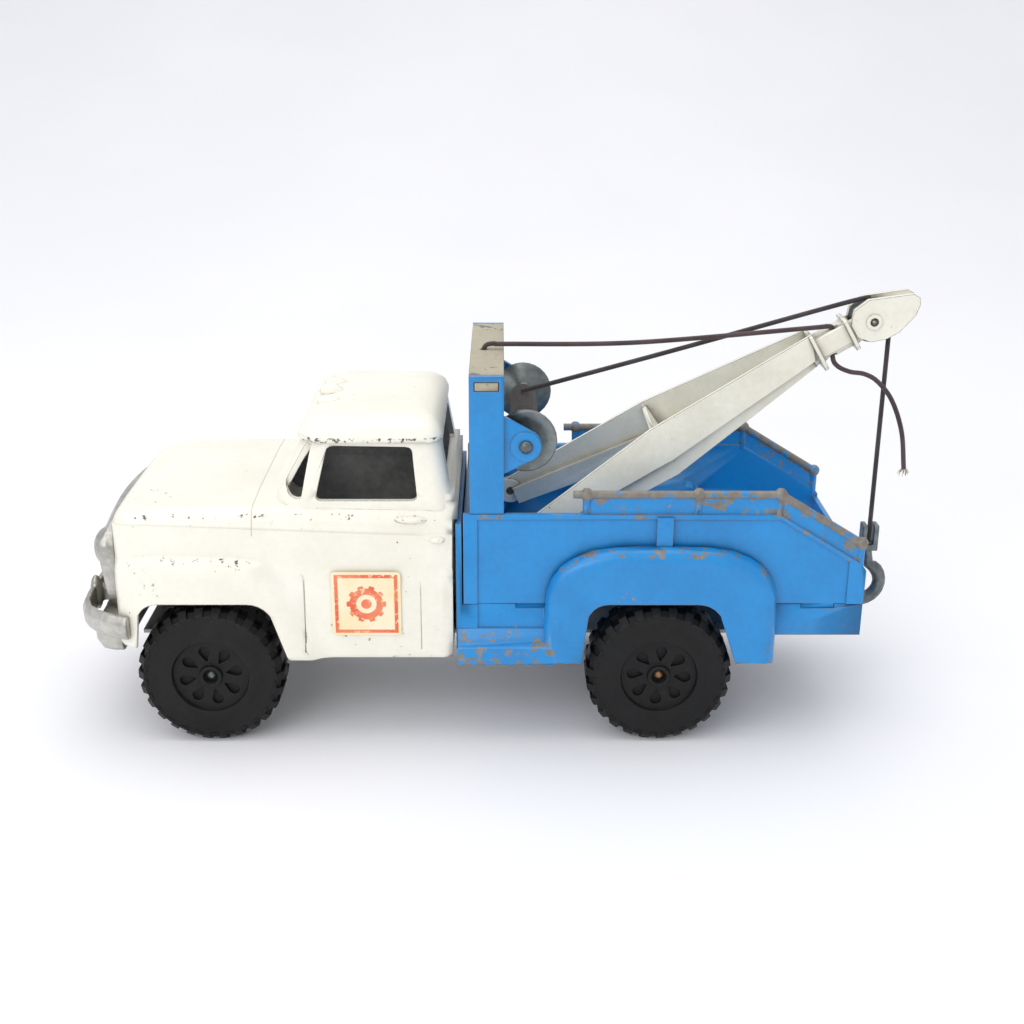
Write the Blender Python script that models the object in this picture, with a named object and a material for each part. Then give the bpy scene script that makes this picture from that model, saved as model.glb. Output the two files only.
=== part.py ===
"""Toy tow truck with a crane boom, winch and hook: one object for each physical piece.

Sizes are in millimetres and become metres in finish(). +X points to the rear, +Z up, and the
origin is on the ground under the middle of the truck. Lengthwise places are stations, measured
backwards from the front axle.
"""

import math

import bmesh
import bpy
from mathutils import Matrix, Vector

for leftover in list(bpy.data.objects):
    bpy.data.objects.remove(leftover)

MM = 0.001
GAP = 0.3  # between pieces that touch on the real toy

# running gear
WHEELBASE = 174.9
TYRE_RADIUS = 28.5
TYRE_WIDTH = 18.4
WHEEL_FACE_Y = 51.7  # outer face of a wheel, from the middle plane
AXLE_RADIUS = 1.6
AXLE_PLAY = 0.1
AXLE_HEAD_RADIUS = 2.1
HUB_RADIUS = 14.5

# body lines
CASTING_WALL = 2.2
BUMPER_REACH = 53.3  # bumper face ahead of the front axle
NOSE_STATION = -35.0
CAB_BACK_STATION = 94.6
BED_FRONT_STATION = 98.7
BED_REAR_STATION = 253.7
FENDER_Y = 52.0
DOOR_Y = 49.2
BED_Y = 45.6
CAB_FLOOR_Z = 35.5
BELT_Z = 86.0
SILL_Z = 98.0
HOOD_Z = 97.4
DRIP_Z = 121.6
ROOF_Z = 130.4
RUNNING_BOARD_Z = 40.7
RUNNING_BOARD_BOTTOM_Z = 33.8
SKIRT_Z = 43.5
SEAM_Z = 57.0
LEDGE_Z = 93.7
BED_FLOOR_Z = 62.0
RAIL_Z = 101.4
RAIL_BAR_RADIUS = 1.6
RAIL_BALL_RADIUS = 2.6
RAIL_Y = BED_Y - 1.7
RAIL_FRONT_STATION = 140.5
SLOPE_STATION = 219.0  # where ledge and rail start to fall
SLOPE_DROP = 19.8

# wheel arches
ARCH_HALF_WIDTH = 31.0
ARCH_TOP_Z = 60.4
FENDER_HALF_WIDTH = 45.0
FENDER_TOP_Z = 81.7
FENDER_BOTTOM_Z = 33.5

# mast
MAST_STATION = 101.2
MAST_DEPTH = 13.0
MAST_TOP_Z = 147.4
MAST_Y = BED_Y - 0.6
MAST_WEB = 2.4
BEAM_THICKNESS = 3.0
BEAM_HOLE_RADIUS = 1.6

# winch
WINCH_STATION = 122.4
WINCH_Z = 120.2
LUG_RADIUS = 6.0
WINCH_AXLE_RADIUS = 1.5
SPOOL_RADIUS = 12.0
SPOOL_CORE_RADIUS = 3.4
SPOOL_HALF_WIDTH = MAST_Y - 8
CORD_RADIUS = 0.95

# boom
PIVOT_STATION = 117.2
PIVOT_Z = 76.0
PIVOT_PIN_RADIUS = 1.6
FOOT_Y = BED_Y - 10.1
KINK_REACH = 57.5  # cross rib, ahead of the pivot towards the rear
KINK_Y = 20.5
NECK_REACH = 121.0
NECK_RISE = 73.4
NECK_Y = 6.0
HEAD_REACH = 142.0
HEAD_RISE = 83.0
HEAD_TIP_REACH = 158.8
BOOM_WALL = 2.0
CHEEK_GAP = 6.4
CHEEK_WALL = 2.6
SHEAVE_RADIUS = 8.6
SHEAVE_GROOVE_RADIUS = 6.6
SHEAVE_WIDTH = 5.4
SHEAVE_PIN_RADIUS = 1.5

FRONT_AXLE_X = (BUMPER_REACH - (PIVOT_STATION + HEAD_TIP_REACH)) / 2

# colour, roughness and metallic value of each surface
CREAM_PAINT = ((0.88, 0.87, 0.75), 0.45, 0.0)
BLUE_PAINT = ((0.04, 0.28, 0.70), 0.35, 0.0)
BARE_ZINC = ((0.50, 0.50, 0.46), 0.40, 0.9)
DARK_ZINC = ((0.10, 0.12, 0.11), 0.45, 0.7)
BLACK_RUBBER = ((0.02, 0.02, 0.02), 0.6, 0.0)
AGED_STEEL = ((0.35, 0.22, 0.14), 0.5, 0.9)
BRAIDED_CORD = ((0.12, 0.09, 0.09), 0.8, 0.0)
TAN_PAINT = ((0.50, 0.47, 0.36), 0.5, 0.0)
LABEL_PAPER = ((0.95, 0.72, 0.38), 0.6, 0.0)

# cab casting
BODY_STATIONS = (-35, -33, -29, -22, -10, 6, 16, 20, 24, 28, 32, 36, 40, 44, 48, 62, 80, 91, CAB_BACK_STATION)
CROWN_Z = ((-35, HOOD_Z - 4), (-33, HOOD_Z - 2.6), (-29, HOOD_Z - 1.6), (-10, HOOD_Z - 0.5), (24, HOOD_Z),
           (38, SILL_Z), (95, SILL_Z - 1))
SIDE_Y = ((-35, 42.5), (-33, 45), (-29, 47), (-22, 48.2), (90, 48.2), (95, 46.8))
FENDER_SIDE_Y = ((-35, 45.5), (-33, 48.5), (-29, 50.6), (-22, FENDER_Y), (50, FENDER_Y), (51, DOOR_Y),
                 (91, DOOR_Y), (95, 47.6))
FENDER_FOOT_STATION = 45.5  # where the fender meets the door at the floor
FENDER_SLANT = 0.56
FENDER_RAMP = 5.0
FENDER_LEVELS = 5
FENDER_CREASE_Z = ((-35, 74), (-22, 77.5), (6, 77), (34, 75), (46, 72), (95, 72))
BELT_LINE_Z = ((-35, 89.5), (-22, 90.5), (24, 88.6), (95, BELT_Z))
BOTTOM_Z = ((-35, 40.5), (-10, 40), (31, CAB_FLOOR_Z), (95, CAB_FLOOR_Z))
CROWN_STEPS = 5
HOOD_CORNER = 6.0  # how far the rounded side of the hood reaches inwards
HOOD_CAMBER = 0.9
NOSE_LEAN = 3.0  # how far the hood's lip stands back from the nose
ROOF_FRONT_STATION = 36.8
ROOF_REAR_STATION = 91.0
ROOF_Y = 41.8
SIDE_WINDOW = ((47.8, 119.6), (79.6, 119.2), (81.6, 99.0), (42.8, 99.0))
QUARTER_INNER_Y = 36.5
QUARTER_WINDOW = ((41.6, 119.8), (36.0, 119.8), (31.0, 107), (31.8, 101.6), (34.0, 99.8), (37.6, 99.4))
MARKER_LIGHT_SPACING = 13.0
DOOR_FRONT_STATION = 37.5
DOOR_REAR_STATION = 82.2
GROOVE = 0.4
GRILLE_SPAN = 42.0

# base plate and rivets
PLATE_Z = 36.0
PLATE_TOP_Z = 37.6
PLATE_Y = 27.0
EAR_WALL = 2.0
RIVET_RADIUS = 1.4
RIVET_HEAD_RADIUS = 3.0
RIVET_POST_RADIUS = 3.6
RIVET_GRIP = 5.0
CAB_RIVET_STATIONS = (-18.0, 84.0)
BODY_RIVET_STATIONS = (122.0, 232.0)
PLATE_FRONT_STATION = -31.0
PLATE_REAR_STATION = 244.0

# grille, bumper, valance
HEADLIGHT_Y = 34.0
HEADLIGHT_Z = 76.5

# lower rear body
SKIRT_Y = BED_Y - 0.8
BULKHEAD_STATION = 95.8
BULKHEAD_WALL = 2.3
BULKHEAD_TOP_Z = 90.0
DECK_Z = 54.2
STRIP_WIDTH = 5.4
TAB_STATIONS = ((119.1, 131.5), (229.9, 242.5))
TAB_DEPTH = 1.9
FENDER_INNER_Y = BED_Y + GAP
MIDDLE_RIB = (172.4, 178.6)
MIDDLE_RIB_FOOT_Z = 78.4

# upper bed with its rails
LEDGE_THICKNESS = 1.9
REAR_STRIP_STATION = 247.0
TAILBOARD_Z = 70.0
WELL_Y = BED_Y - 12.6
BALL_STATIONS = (145.6, 188.0, SLOPE_STATION, 251.4)
RAIL_WEB = 1.2

# mast and winch
LUG_OUTER_Y = MAST_Y - 1.6
LUG_WALL = 2.2
LUG_BOSS = 0.7
LEG_FLANGE = 2.0
LEG_INNER_Y = MAST_Y - 7.4
BEAM_DEPTH = 8.0
TAB_HEIGHT = 2.9
TAB_Z = 142.1
TAB_INSET = 2.2
STAY_STATION = 106.4
STAY_Y = -2.5
PIVOT_EAR_RADIUS = 5.0

# boom
FOOT_SECTION = ((-2.0, 4.8), (1.4, -0.6), (4.0, -5.2))
KINK_SECTION = ((KINK_REACH - 3.4, 43.7), (KINK_REACH + 5.4, 31.2), (KINK_REACH + 8.6, 24.4))
NECK_SECTION = ((NECK_REACH - 3.5, NECK_RISE + 4.8), (NECK_REACH - 1.5, NECK_RISE - 5.8),
                (NECK_REACH + 0.3, NECK_RISE - 8.5))
FLANGE_STEP = 3.0
COLLAR_REACHES = ((120.6, 70.8, 7.9, 7.2), (133.0, 78.05, 6.8, 6.8))
NECK_TILT = math.radians(30.5)
HEAD_OUTLINE = ((138.6, 91.8), (150, 93.4), (155.8, 94.2), (158.2, 93.0), (158.8, 90.4), (157.4, 86.0),
                (151.4, 79.0), (146.6, 76.4), (140.8, 75.2), (135.4, 77.2), (132.6, 81.6), (133.4, 87.6))
NECK_HALF_HEIGHT = 5.2
NECK_HALF_WIDTH = 5.2
BOSS_RADIUS = 3.1
BOSS_HEIGHT = 0.6
STAY_NECK_REACH = 127.0

# hook and cords
HOOK_CENTRE_Z = 47.6
HOOK_RADIUS = 8.4
HOOK_WIRE = 2.8
HOOK_OFFSET = -2.4  # the round of the hook lies ahead of the cord
EYE_TOP_Z = 73.2
EYE_LOW_Z = 62.0
EYE_X = 6.8
EYE_Y = 6.0
EYE_SLOT = 2.6


# helpers


def at(station):
    """X of a station, in millimetres."""
    return FRONT_AXLE_X + station


def paint(name, color, roughness, metallic):
    material = bpy.data.materials.new(name)
    material.use_nodes = True
    shader = material.node_tree.nodes["Principled BSDF"]
    shader.inputs["Base Color"].default_value = (*color, 1)
    shader.inputs["Roughness"].default_value = roughness
    shader.inputs["Metallic"].default_value = metallic
    return material


def finish(name, mesh, look, origin=(0, 0, 0)):
    """An object from a bmesh in millimetres, with its origin at a point in millimetres."""
    bmesh.ops.recalc_face_normals(mesh, faces=mesh.faces)
    data = bpy.data.meshes.new(name)
    mesh.to_mesh(data)
    mesh.free()
    data.transform(Matrix.Translation(-Vector(origin)))
    data.transform(Matrix.Scale(MM, 4))
    data.shade_smooth()
    data.set_sharp_from_angle(angle=math.radians(32))
    data.materials.append(paint(name, *look))
    made = bpy.data.objects.new(name, data)
    made.location = Vector(origin) * MM
    bpy.context.scene.collection.objects.link(made)
    return made


def as_tool(tool):
    tool.hide_render = True
    tool.display_type = "WIRE"
    return tool


def combine(target, tool, operation):
    modifier = target.modifiers.new(operation.title(), "BOOLEAN")
    modifier.operation = operation
    # the three castings have walls that meet flush, which the exact solver leaves open
    modifier.solver = "MANIFOLD" if target.name.startswith(("cab_body", "rear_body", "bed")) else "EXACT"
    modifier.object = as_tool(tool)


def cut(target, *tools):
    for tool in tools:
        combine(target, tool, "DIFFERENCE")


def unite(target, *tools):
    for tool in tools:
        combine(target, tool, "UNION")


def weld(target):
    """Joins corners that the Booleans left a hair apart."""
    modifier = target.modifiers.new("Weld", "WELD")
    modifier.merge_threshold = 0.01 * MM


def skin(rings):
    """A closed solid through rings of equal length, capped at both ends."""
    mesh = bmesh.new()
    rows = [[mesh.verts.new(point) for point in ring] for ring in rings]
    for row, following in zip(rows, rows[1:]):
        count = len(row)
        for i in range(count):
            j = (i + 1) % count
            mesh.faces.new((row[i], row[j], following[j], following[i]))
    bmesh.ops.connect_verts_nonplanar(mesh, angle_limit=math.radians(0.2), faces=mesh.faces[:])
    caps = [mesh.faces.new(rows[0]), mesh.faces.new(rows[-1])]
    bmesh.ops.triangulate(mesh, faces=caps)
    return mesh


def prism(outline, axis, low, high):
    """An outline extruded along X, Y or Z. Its points give the other two coordinates, in order."""
    place = {
        "X": lambda p, t: (t, p[0], p[1]),
        "Y": lambda p, t: (p[0], t, p[1]),
        "Z": lambda p, t: (p[0], p[1], t),
    }[axis]
    return skin([[place(p, t) for p in outline] for t in (low, high)])


def block(x0, x1, y0, y1, z0, z1):
    return prism([(x0, y0), (x1, y0), (x1, y1), (x0, y1)], "Z", z0, z1)


def turned(profile, centre, segments, closed=False):
    """A profile of (radius, y) turned about a line along Y through centre. A closed one makes a ring."""
    mesh = bmesh.new()
    rows = []
    for i in range(segments):
        angle = 2 * math.pi * i / segments
        row = []
        for radius, y in profile:
            x = centre[0] + radius * math.cos(angle)
            z = centre[2] + radius * math.sin(angle)
            row.append(mesh.verts.new((x, centre[1] + y, z)))
        rows.append(row)
    count = len(profile)
    for i in range(segments):
        row = rows[i]
        following = rows[(i + 1) % segments]
        for k in range(count if closed else count - 1):
            m = (k + 1) % count
            mesh.faces.new((row[k], row[m], following[m], following[k]))
    if not closed:
        mesh.faces.new([row[0] for row in rows])
        mesh.faces.new([row[-1] for row in rows])
    return mesh


def rod(start, end, radius, segments=16):
    start = Vector(start)
    end = Vector(end)
    along = end - start
    mesh = bmesh.new()
    turn = along.to_track_quat("Z", "Y").to_matrix().to_4x4()
    bmesh.ops.create_cone(
        mesh,
        cap_ends=True,
        segments=segments,
        radius1=radius,
        radius2=radius,
        depth=along.length,
        matrix=Matrix.Translation((start + end) / 2) @ turn,
    )
    return mesh


def ball(centre, size, turns=10, rows=6):
    mesh = bmesh.new()
    bmesh.ops.create_uvsphere(
        mesh,
        u_segments=turns,
        v_segments=rows,
        radius=1,
        matrix=Matrix.Translation(centre) @ Matrix.Diagonal((*size, 1)),
    )
    return mesh


def rounded(points, radius, steps=3):
    """A 2D outline with each corner replaced by an arc-like curve."""
    result = []
    count = len(points)
    for i in range(count):
        corner = Vector(points[i])
        before = Vector(points[i - 1]) - corner
        after = Vector(points[(i + 1) % count]) - corner
        reach = min(radius, before.length * 0.45, after.length * 0.45)
        first = corner + before.normalized() * reach
        last = corner + after.normalized() * reach
        for k in range(steps + 1):
            t = k / steps
            point = first * (1 - t) ** 2 + corner * 2 * t * (1 - t) + last * t**2
            result.append((point.x, point.y))
    return result


def between(knots, station):
    """A value read off straight lines through (station, value) knots."""
    if station <= knots[0][0]:
        return knots[0][1]
    for (s0, v0), (s1, v1) in zip(knots, knots[1:]):
        if station <= s1:
            return v0 + (v1 - v0) * (station - s0) / (s1 - s0)
    return knots[-1][1]


# cab casting


def lean(station, z):
    """The nose leans back above the belt, less and less towards the windshield."""
    share = max(0.0, 1 - (station - NOSE_STATION) / 35)
    return NOSE_LEAN * share * max(0.0, (z - 88) / 15)


def fender_reach(station, z):
    """How far out the side stands: the full fender over the wheel, then the door behind a slanting line."""
    full = between(FENDER_SIDE_Y, station)
    line = FENDER_FOOT_STATION - (z - CAB_FLOOR_Z) * FENDER_SLANT
    share = min(max((station - line) / FENDER_RAMP + 1, 0.0), 1.0)
    return full + (min(DOOR_Y, full) - full) * share * share * (3 - 2 * share)


def body_ring(station, inset, lowest=None):
    """The hood and door section at a station, or the hollow inside it at an inset."""
    side = between(SIDE_Y, station) - inset
    crease = between(FENDER_CREASE_Z, station)
    belt = between(BELT_LINE_Z, station)
    crown = between(CROWN_Z, station) - inset
    bottom = between(BOTTOM_Z, station) if lowest is None else lowest
    half = [(fender_reach(station, bottom) - inset - 0.8, bottom)]
    for k in range(FENDER_LEVELS + 1):
        z = bottom + 1.5 + (crease - 8 - bottom - 1.5) * k / FENDER_LEVELS
        half.append((fender_reach(station, z) - inset, z))
    fender = fender_reach(station, crease - 3) - inset
    half += [
        (fender - 0.5, crease - 3),
        (side + (fender - side) * 0.35, crease - 0.6),
        (side, crease + 1.4),
        (side + 0.4, belt),
        (side - 0.5, belt + 0.7),
    ]
    for k in range(1, CROWN_STEPS + 1):
        turn = math.pi / 2 * k / CROWN_STEPS
        y = side - 0.5 - HOOD_CORNER * (1 - math.cos(turn))
        z = belt + 0.7 + (crown - HOOD_CAMBER - belt - 0.7) * math.sin(turn)
        half.append((y, z))
    half.append((side * 0.5, crown))
    ring = [(y, z) for y, z in half] + [(-y, z) for y, z in reversed(half)]
    return [(at(station) + lean(station, z), y, z) for y, z in ring]


def plan_ring(front, rear, half_width, front_round, rear_round, z, bow=1.5):
    """A rounded rectangle seen from above, its front bowed forward."""
    corners = [(front, -half_width), (rear, -half_width), (rear, half_width), (front, half_width)]
    outline = []
    for i, (corner_x, corner_y) in enumerate(corners):
        radius = front_round if corner_x == front else rear_round
        inward_x = 1 if corner_x == front else -1
        inward_y = 1 if corner_y < 0 else -1
        centre_x = corner_x + inward_x * radius
        centre_y = corner_y + inward_y * radius
        for k in range(6):
            turn = math.pi / 2 * k / 5
            if i % 2:
                turn = math.pi / 2 - turn
            x = centre_x - inward_x * radius * math.cos(turn)
            y = centre_y - inward_y * radius * math.sin(turn)
            outline.append((x, y))
    span = rear - front
    ring = []
    for x, y in outline:
        share = 1 - (x - front) / span
        ring.append((at(x - bow * share * (1 - (y / half_width) ** 2)), y, z))
    return ring


def greenhouse(inset, low, high):
    """The upper cab between two heights, as the outer skin or, with an inset, its hollow."""
    levels = ((SILL_Z - 8, 26.0, 94.0, 44.0), (SILL_Z, 27.5, 94.0, 44.6), (104, 30.4, 93.0, 43.6),
              (DRIP_Z, 38.5, 90.0, 40.4))
    rings = []
    for z, front, rear, width in levels:
        z = min(max(z, low), high)
        rings.append(plan_ring(front + inset, rear - inset, width - inset, 11 - inset, 6 - inset, z))
    return rings


def arch_outline(centre, half_width, top, bottom):
    """A flat-topped wheel arch in X and Z, its sides spreading a little at the foot."""
    points = [
        (centre - half_width, bottom),
        (centre - half_width + 0.5, top - 10),
        (centre - half_width + 6, top - 1),
        (centre + half_width - 12, top - 1),
        (centre + half_width - 5, top - 10),
        (centre + half_width, bottom),
    ]
    top_round = rounded(points[1:5], 9, 4)
    return [points[0]] + top_round[4:-4] + [points[5]]


def make_cab():
    rings = [body_ring(station, 0) for station in BODY_STATIONS]
    cab = finish("cab_body", skin(rings), CREAM_PAINT)
    upper = finish("cab_upper_tool", skin(greenhouse(0, 0, 200)), CREAM_PAINT)
    roof_levels = ((DRIP_Z - 0.6, 0.0), (DRIP_Z + 1.2, 0.0), (DRIP_Z + 4.4, 2.0), (DRIP_Z + 7.0, 6.5),
                   (ROOF_Z - 0.6, 13.0), (ROOF_Z, 22.0))
    roof_rings = []
    for z, inset in roof_levels:
        roof_rings.append(plan_ring(ROOF_FRONT_STATION + inset, ROOF_REAR_STATION - inset * 0.6,
                                    ROOF_Y - inset, 10 - inset * 0.2, 7 - inset * 0.1, z, 2.0))
    roof = finish("cab_roof_tool", skin(roof_rings), CREAM_PAINT)
    unite(cab, upper, roof)

    for i in range(5):
        y = (i - 2) * MARKER_LIGHT_SPACING
        x = at(ROOF_FRONT_STATION + 10.4 - 1.6 * (1 - (y / 26) ** 2))
        light = ball((x, y, ROOF_Z - 1.0 - abs(y) / 26 * 1.7), (5.0, 2.8, 3.2), 8, 6)
        unite(cab, finish("cab_light_tool_%d" % (i + 1), light, CREAM_PAINT))

    # ledges across the back wall, one standing out from the other
    ledges = ((95.4, 42.0, 60.0, 101.0), (96.6, 43.0, 91.0, 98.0))
    for i, (reach, half_width, low, high) in enumerate(ledges):
        ledge = block(at(88), at(reach), -half_width, half_width, low, high)
        unite(cab, finish("cab_ledge_tool_%d" % (i + 1), ledge, CREAM_PAINT))

    wall = CASTING_WALL
    inner_stations = [NOSE_STATION + wall + 0.6] + list(BODY_STATIONS[2:-2]) + [CAB_BACK_STATION - wall]
    hollow = [body_ring(station, wall, CAB_FLOOR_Z - 6) for station in inner_stations]
    cut(cab, finish("cab_hollow_tool", skin(hollow), CREAM_PAINT))
    upper_hollow = greenhouse(wall, SILL_Z - 10, DRIP_Z)
    upper_hollow[0] = [(x, y, SILL_Z - 12) for x, y, z in upper_hollow[1]]
    top = [(x + (at(62) - x) * 0.12, y * 0.88, ROOF_Z - wall - 1.6) for x, y, z in upper_hollow[-1]]
    cut(cab, finish("cab_upper_hollow_tool", skin(upper_hollow + [top]), CREAM_PAINT))

    side = rounded([(at(s), z) for s, z in SIDE_WINDOW], 2.5)
    cut(cab, finish("cab_side_window_tool", prism(side, "Y", -60, 60), CREAM_PAINT))
    quarter = rounded([(at(s), z) for s, z in QUARTER_WINDOW], 1.5, 2)
    for sign in (-1, 1):
        ends = sorted((sign * QUARTER_INNER_Y, sign * 60))
        cut(cab, finish("cab_quarter_tool_%d" % (sign + 2), prism(quarter, "Y", *ends), CREAM_PAINT))
    glass = rounded([(-31, 101.0), (31, 101.0), (30, 119.4), (-30, 119.4)], 3)
    cut(cab, finish("cab_windshield_tool", prism(glass, "X", at(20), at(45)), CREAM_PAINT))
    rear_glass = rounded([(-30, 101.5), (30, 101.5), (28, 117.5), (-28, 117.5)], 3)
    cut(cab, finish("cab_rear_window_tool", prism(rear_glass, "X", at(82), at(102)), CREAM_PAINT))
    arch = arch_outline(at(2.0), ARCH_HALF_WIDTH, ARCH_TOP_Z, CAB_FLOOR_Z - 6)
    cut(cab, finish("cab_arch_tool", prism(arch, "Y", -60, 60), CREAM_PAINT))

    # door shut lines
    for i, station in enumerate((DOOR_FRONT_STATION, DOOR_REAR_STATION)):
        for sign in (-1, 1):
            ends = sorted((sign * (DOOR_Y - GROOVE), sign * (DOOR_Y + 4)))
            line = block(at(station), at(station) + GROOVE, *ends, CAB_FLOOR_Z + 4, SILL_Z - 6)
            cut(cab, finish("cab_door_line_tool_%d%d" % (i, sign + 2), line, CREAM_PAINT))

    # door handles, rear corner lugs, arch lips and the posts that take the base plate's rivets
    for sign in (-1, 1):
        handle = ball((at(79.0), sign * 46.4, 92.2), (6.4, 2.4, 1.5), 10, 6)
        unite(cab, finish("cab_handle_tool_%d" % (sign + 2), handle, CREAM_PAINT))
        corner_lug = ball((at(89.0), sign * 48.3, 84.6), (3.0, 1.8, 1.4), 8, 6)
        unite(cab, finish("cab_corner_lug_tool_%d" % (sign + 2), corner_lug, CREAM_PAINT))
    for station, top_z in ((CAB_RIVET_STATIONS[0], HOOD_Z - 6.4), (CAB_RIVET_STATIONS[1], 60)):
        post = rod((at(station), 0, PLATE_TOP_Z + GAP), (at(station), 0, top_z + 4), RIVET_POST_RADIUS)
        unite(cab, finish("cab_post_tool_%d" % top_z, post, CREAM_PAINT))
        bore = rod((at(station), 0, PLATE_TOP_Z - 4), (at(station), 0, PLATE_TOP_Z + RIVET_GRIP + 0.6),
                   RIVET_RADIUS + GAP)
        cut(cab, finish("cab_post_bore_tool_%d" % top_z, bore, CREAM_PAINT))
    notch = block(at(CAB_BACK_STATION) - 4, at(CAB_BACK_STATION) + 3, -PLATE_Y - GAP, PLATE_Y + GAP, CAB_FLOOR_Z - 4,
                  PLATE_TOP_Z + GAP)
    cut(cab, finish("cab_plate_notch_tool", notch, CREAM_PAINT))
    shelf = block(at(CAB_RIVET_STATIONS[1]) - 3, at(CAB_BACK_STATION) - 1, -5, 5, 59, 63)
    unite(cab, finish("cab_shelf_tool", shelf, CREAM_PAINT))
    weld(cab)


# base plate and rivets


def make_base_plate():
    mesh = block(at(PLATE_FRONT_STATION), at(PLATE_REAR_STATION), -PLATE_Y, PLATE_Y, PLATE_Z, PLATE_TOP_Z)
    plate = finish("base_plate", mesh, BARE_ZINC)
    for i, station in enumerate((0, WHEELBASE)):
        for sign in (-1, 1):
            outline = [(at(station - 9), PLATE_Z + 0.8), (at(station - 5), TYRE_RADIUS - 4.5),
                       (at(station + 5), TYRE_RADIUS - 4.5), (at(station + 9), PLATE_Z + 0.8)]
            ends = sorted((sign * PLATE_Y, sign * (PLATE_Y - EAR_WALL)))
            ear = prism(rounded(outline, 2, 2), "Y", *ends)
            unite(plate, finish("plate_ear_tool_%d%d" % (i, sign + 2), ear, BARE_ZINC))
        bore = rod((at(station), -40, TYRE_RADIUS), (at(station), 40, TYRE_RADIUS), AXLE_RADIUS + AXLE_PLAY)
        cut(plate, finish("plate_bore_tool_%d" % i, bore, BARE_ZINC))
    for i, station in enumerate(CAB_RIVET_STATIONS + BODY_RIVET_STATIONS):
        hole = rod((at(station), 0, PLATE_Z - 3), (at(station), 0, PLATE_TOP_Z + 3), RIVET_RADIUS + GAP)
        cut(plate, finish("plate_hole_tool_%d" % i, hole, BARE_ZINC))


def make_rivets():
    stations = CAB_RIVET_STATIONS + BODY_RIVET_STATIONS
    names = ("rivet_cab_front", "rivet_cab_rear", "rivet_bed_front", "rivet_bed_rear")
    seat_z = PLATE_Z - GAP
    for name, station in zip(names, stations):
        x = at(station)
        stem = rod((x, 0, seat_z - 0.6), (x, 0, PLATE_TOP_Z + RIVET_GRIP), RIVET_RADIUS, 12)
        head = rod((x, 0, seat_z - 1.3), (x, 0, seat_z), RIVET_HEAD_RADIUS, 14)
        rivet = finish(name, stem, BARE_ZINC)
        unite(rivet, finish(name + "_head_tool", head, BARE_ZINC))


# grille, bumper, valance


def nose_ring(z, reach, half_width, back, bow):
    """A flat-backed ring seen from above, its face bowed forward."""
    steps = 8
    face = []
    for k in range(steps + 1):
        y = -half_width + 2 * half_width * k / steps
        share = 1 - (y / half_width) ** 2
        face.append((at(-reach - bow * share), y, z))
    return face + [(at(back), half_width, z), (at(back), -half_width, z)]


def make_grille():
    levels = ((57.0, 39.8, 40.0), (66.0, 40.8, 41.0), (72.0, 41.4, 41.5), (79.0, 41.0, 41.0), (84.0, 39.4, 39.0),
              (87.6, 37.4, 36.0), (88.8, 36.6, 34.0))
    rings = []
    for z, reach, width in levels:
        back = NOSE_STATION - GAP
        rings.append(nose_ring(z, reach, width, back, 3.4))
    grille = finish("grille", skin(rings), BARE_ZINC)
    for sign in (-1, 1):
        lamp = ball((at(-39.0), sign * HEADLIGHT_Y, HEADLIGHT_Z), (6.0, 8.0, 8.0), 14, 10)
        keep = block(at(-60), at(NOSE_STATION - GAP - 0.6), -60, 60, 50, 110)
        lamp_tool = finish("headlight_tool_%d" % (sign + 2), lamp, BARE_ZINC)
        combine(lamp_tool, finish("headlight_keep_tool_%d" % (sign + 2), keep, BARE_ZINC), "INTERSECT")
        unite(grille, lamp_tool)
    for i in range(4):
        z = 61.0 + 7.0 * i
        slot = block(at(-60), at(-41.8), -24, 24, z, z + 3.2)
        cut(grille, finish("grille_slot_tool_%d" % i, slot, BARE_ZINC))


def bumper_path(reach, end_station, half_width, steps):
    """Points on the bumper's centre line, wrapping back round the fenders."""
    path = []
    for k in range(steps + 1):
        share = -1 + 2 * k / steps
        y = half_width * math.sin(share * math.pi / 2)
        drop = abs(math.sin(share * math.pi / 2)) ** 7
        path.append((at(-reach - (reach + end_station) * -drop), y))
    return path


def bar_along(path, thickness, low, high):
    """An upright strip that follows a path seen from above."""
    rings = []
    for i, (x, y) in enumerate(path):
        before = Vector(path[max(i - 1, 0)])
        after = Vector(path[min(i + 1, len(path) - 1)])
        along = (after - before).normalized()
        out = Vector((-along.y, along.x)) * thickness / 2
        height = high - low
        rings.append([
            (x - out.x, y - out.y, low),
            (x + out.x * 0.2, y + out.y * 0.2, low),
            (x + out.x, y + out.y, low + height * 0.3),
            (x + out.x, y + out.y, high - height * 0.3),
            (x + out.x * 0.2, y + out.y * 0.2, high),
            (x - out.x, y - out.y, high),
        ])
    return skin(rings)


def make_bumper():
    path = bumper_path(BUMPER_REACH - 1.6, -30.0, 52.2, 18)
    bumper = finish("front_bumper", bar_along(path, 3.2, 44.6, 54.0), BARE_ZINC)
    for sign in (-1, 1):
        guard = ball((at(-50.6), sign * 19.0, 50.5), (2.6, 3.0, 7.6), 10, 8)
        unite(bumper, finish("bumper_guard_tool_%d" % (sign + 2), guard, BARE_ZINC))
    for sign in (-1, 1):
        ends = sorted((sign * 12, sign * 18))
        bracket = block(at(-51), at(NOSE_STATION - GAP), *ends, 46.5, 51.5)
        unite(bumper, finish("bumper_bracket_tool_%d" % (sign + 2), bracket, BARE_ZINC))


def make_valance():
    rings = []
    for z, reach, width in ((33.6, 43.0, 38.0), (35.5, 46.2, 40.0), (40.0, 48.4, 41.0), (44.2, 48.6, 41.0)):
        rings.append(nose_ring(z, reach - 2.6, width, NOSE_STATION - GAP - 0.4, 2.6))
    valance = finish("front_valance", skin(rings), BARE_ZINC)
    hollow = block(at(-43.0), at(NOSE_STATION + 4), -34, 34, 30, 41)
    cut(valance, finish("valance_hollow_tool", hollow, BARE_ZINC))


# lower rear body


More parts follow.
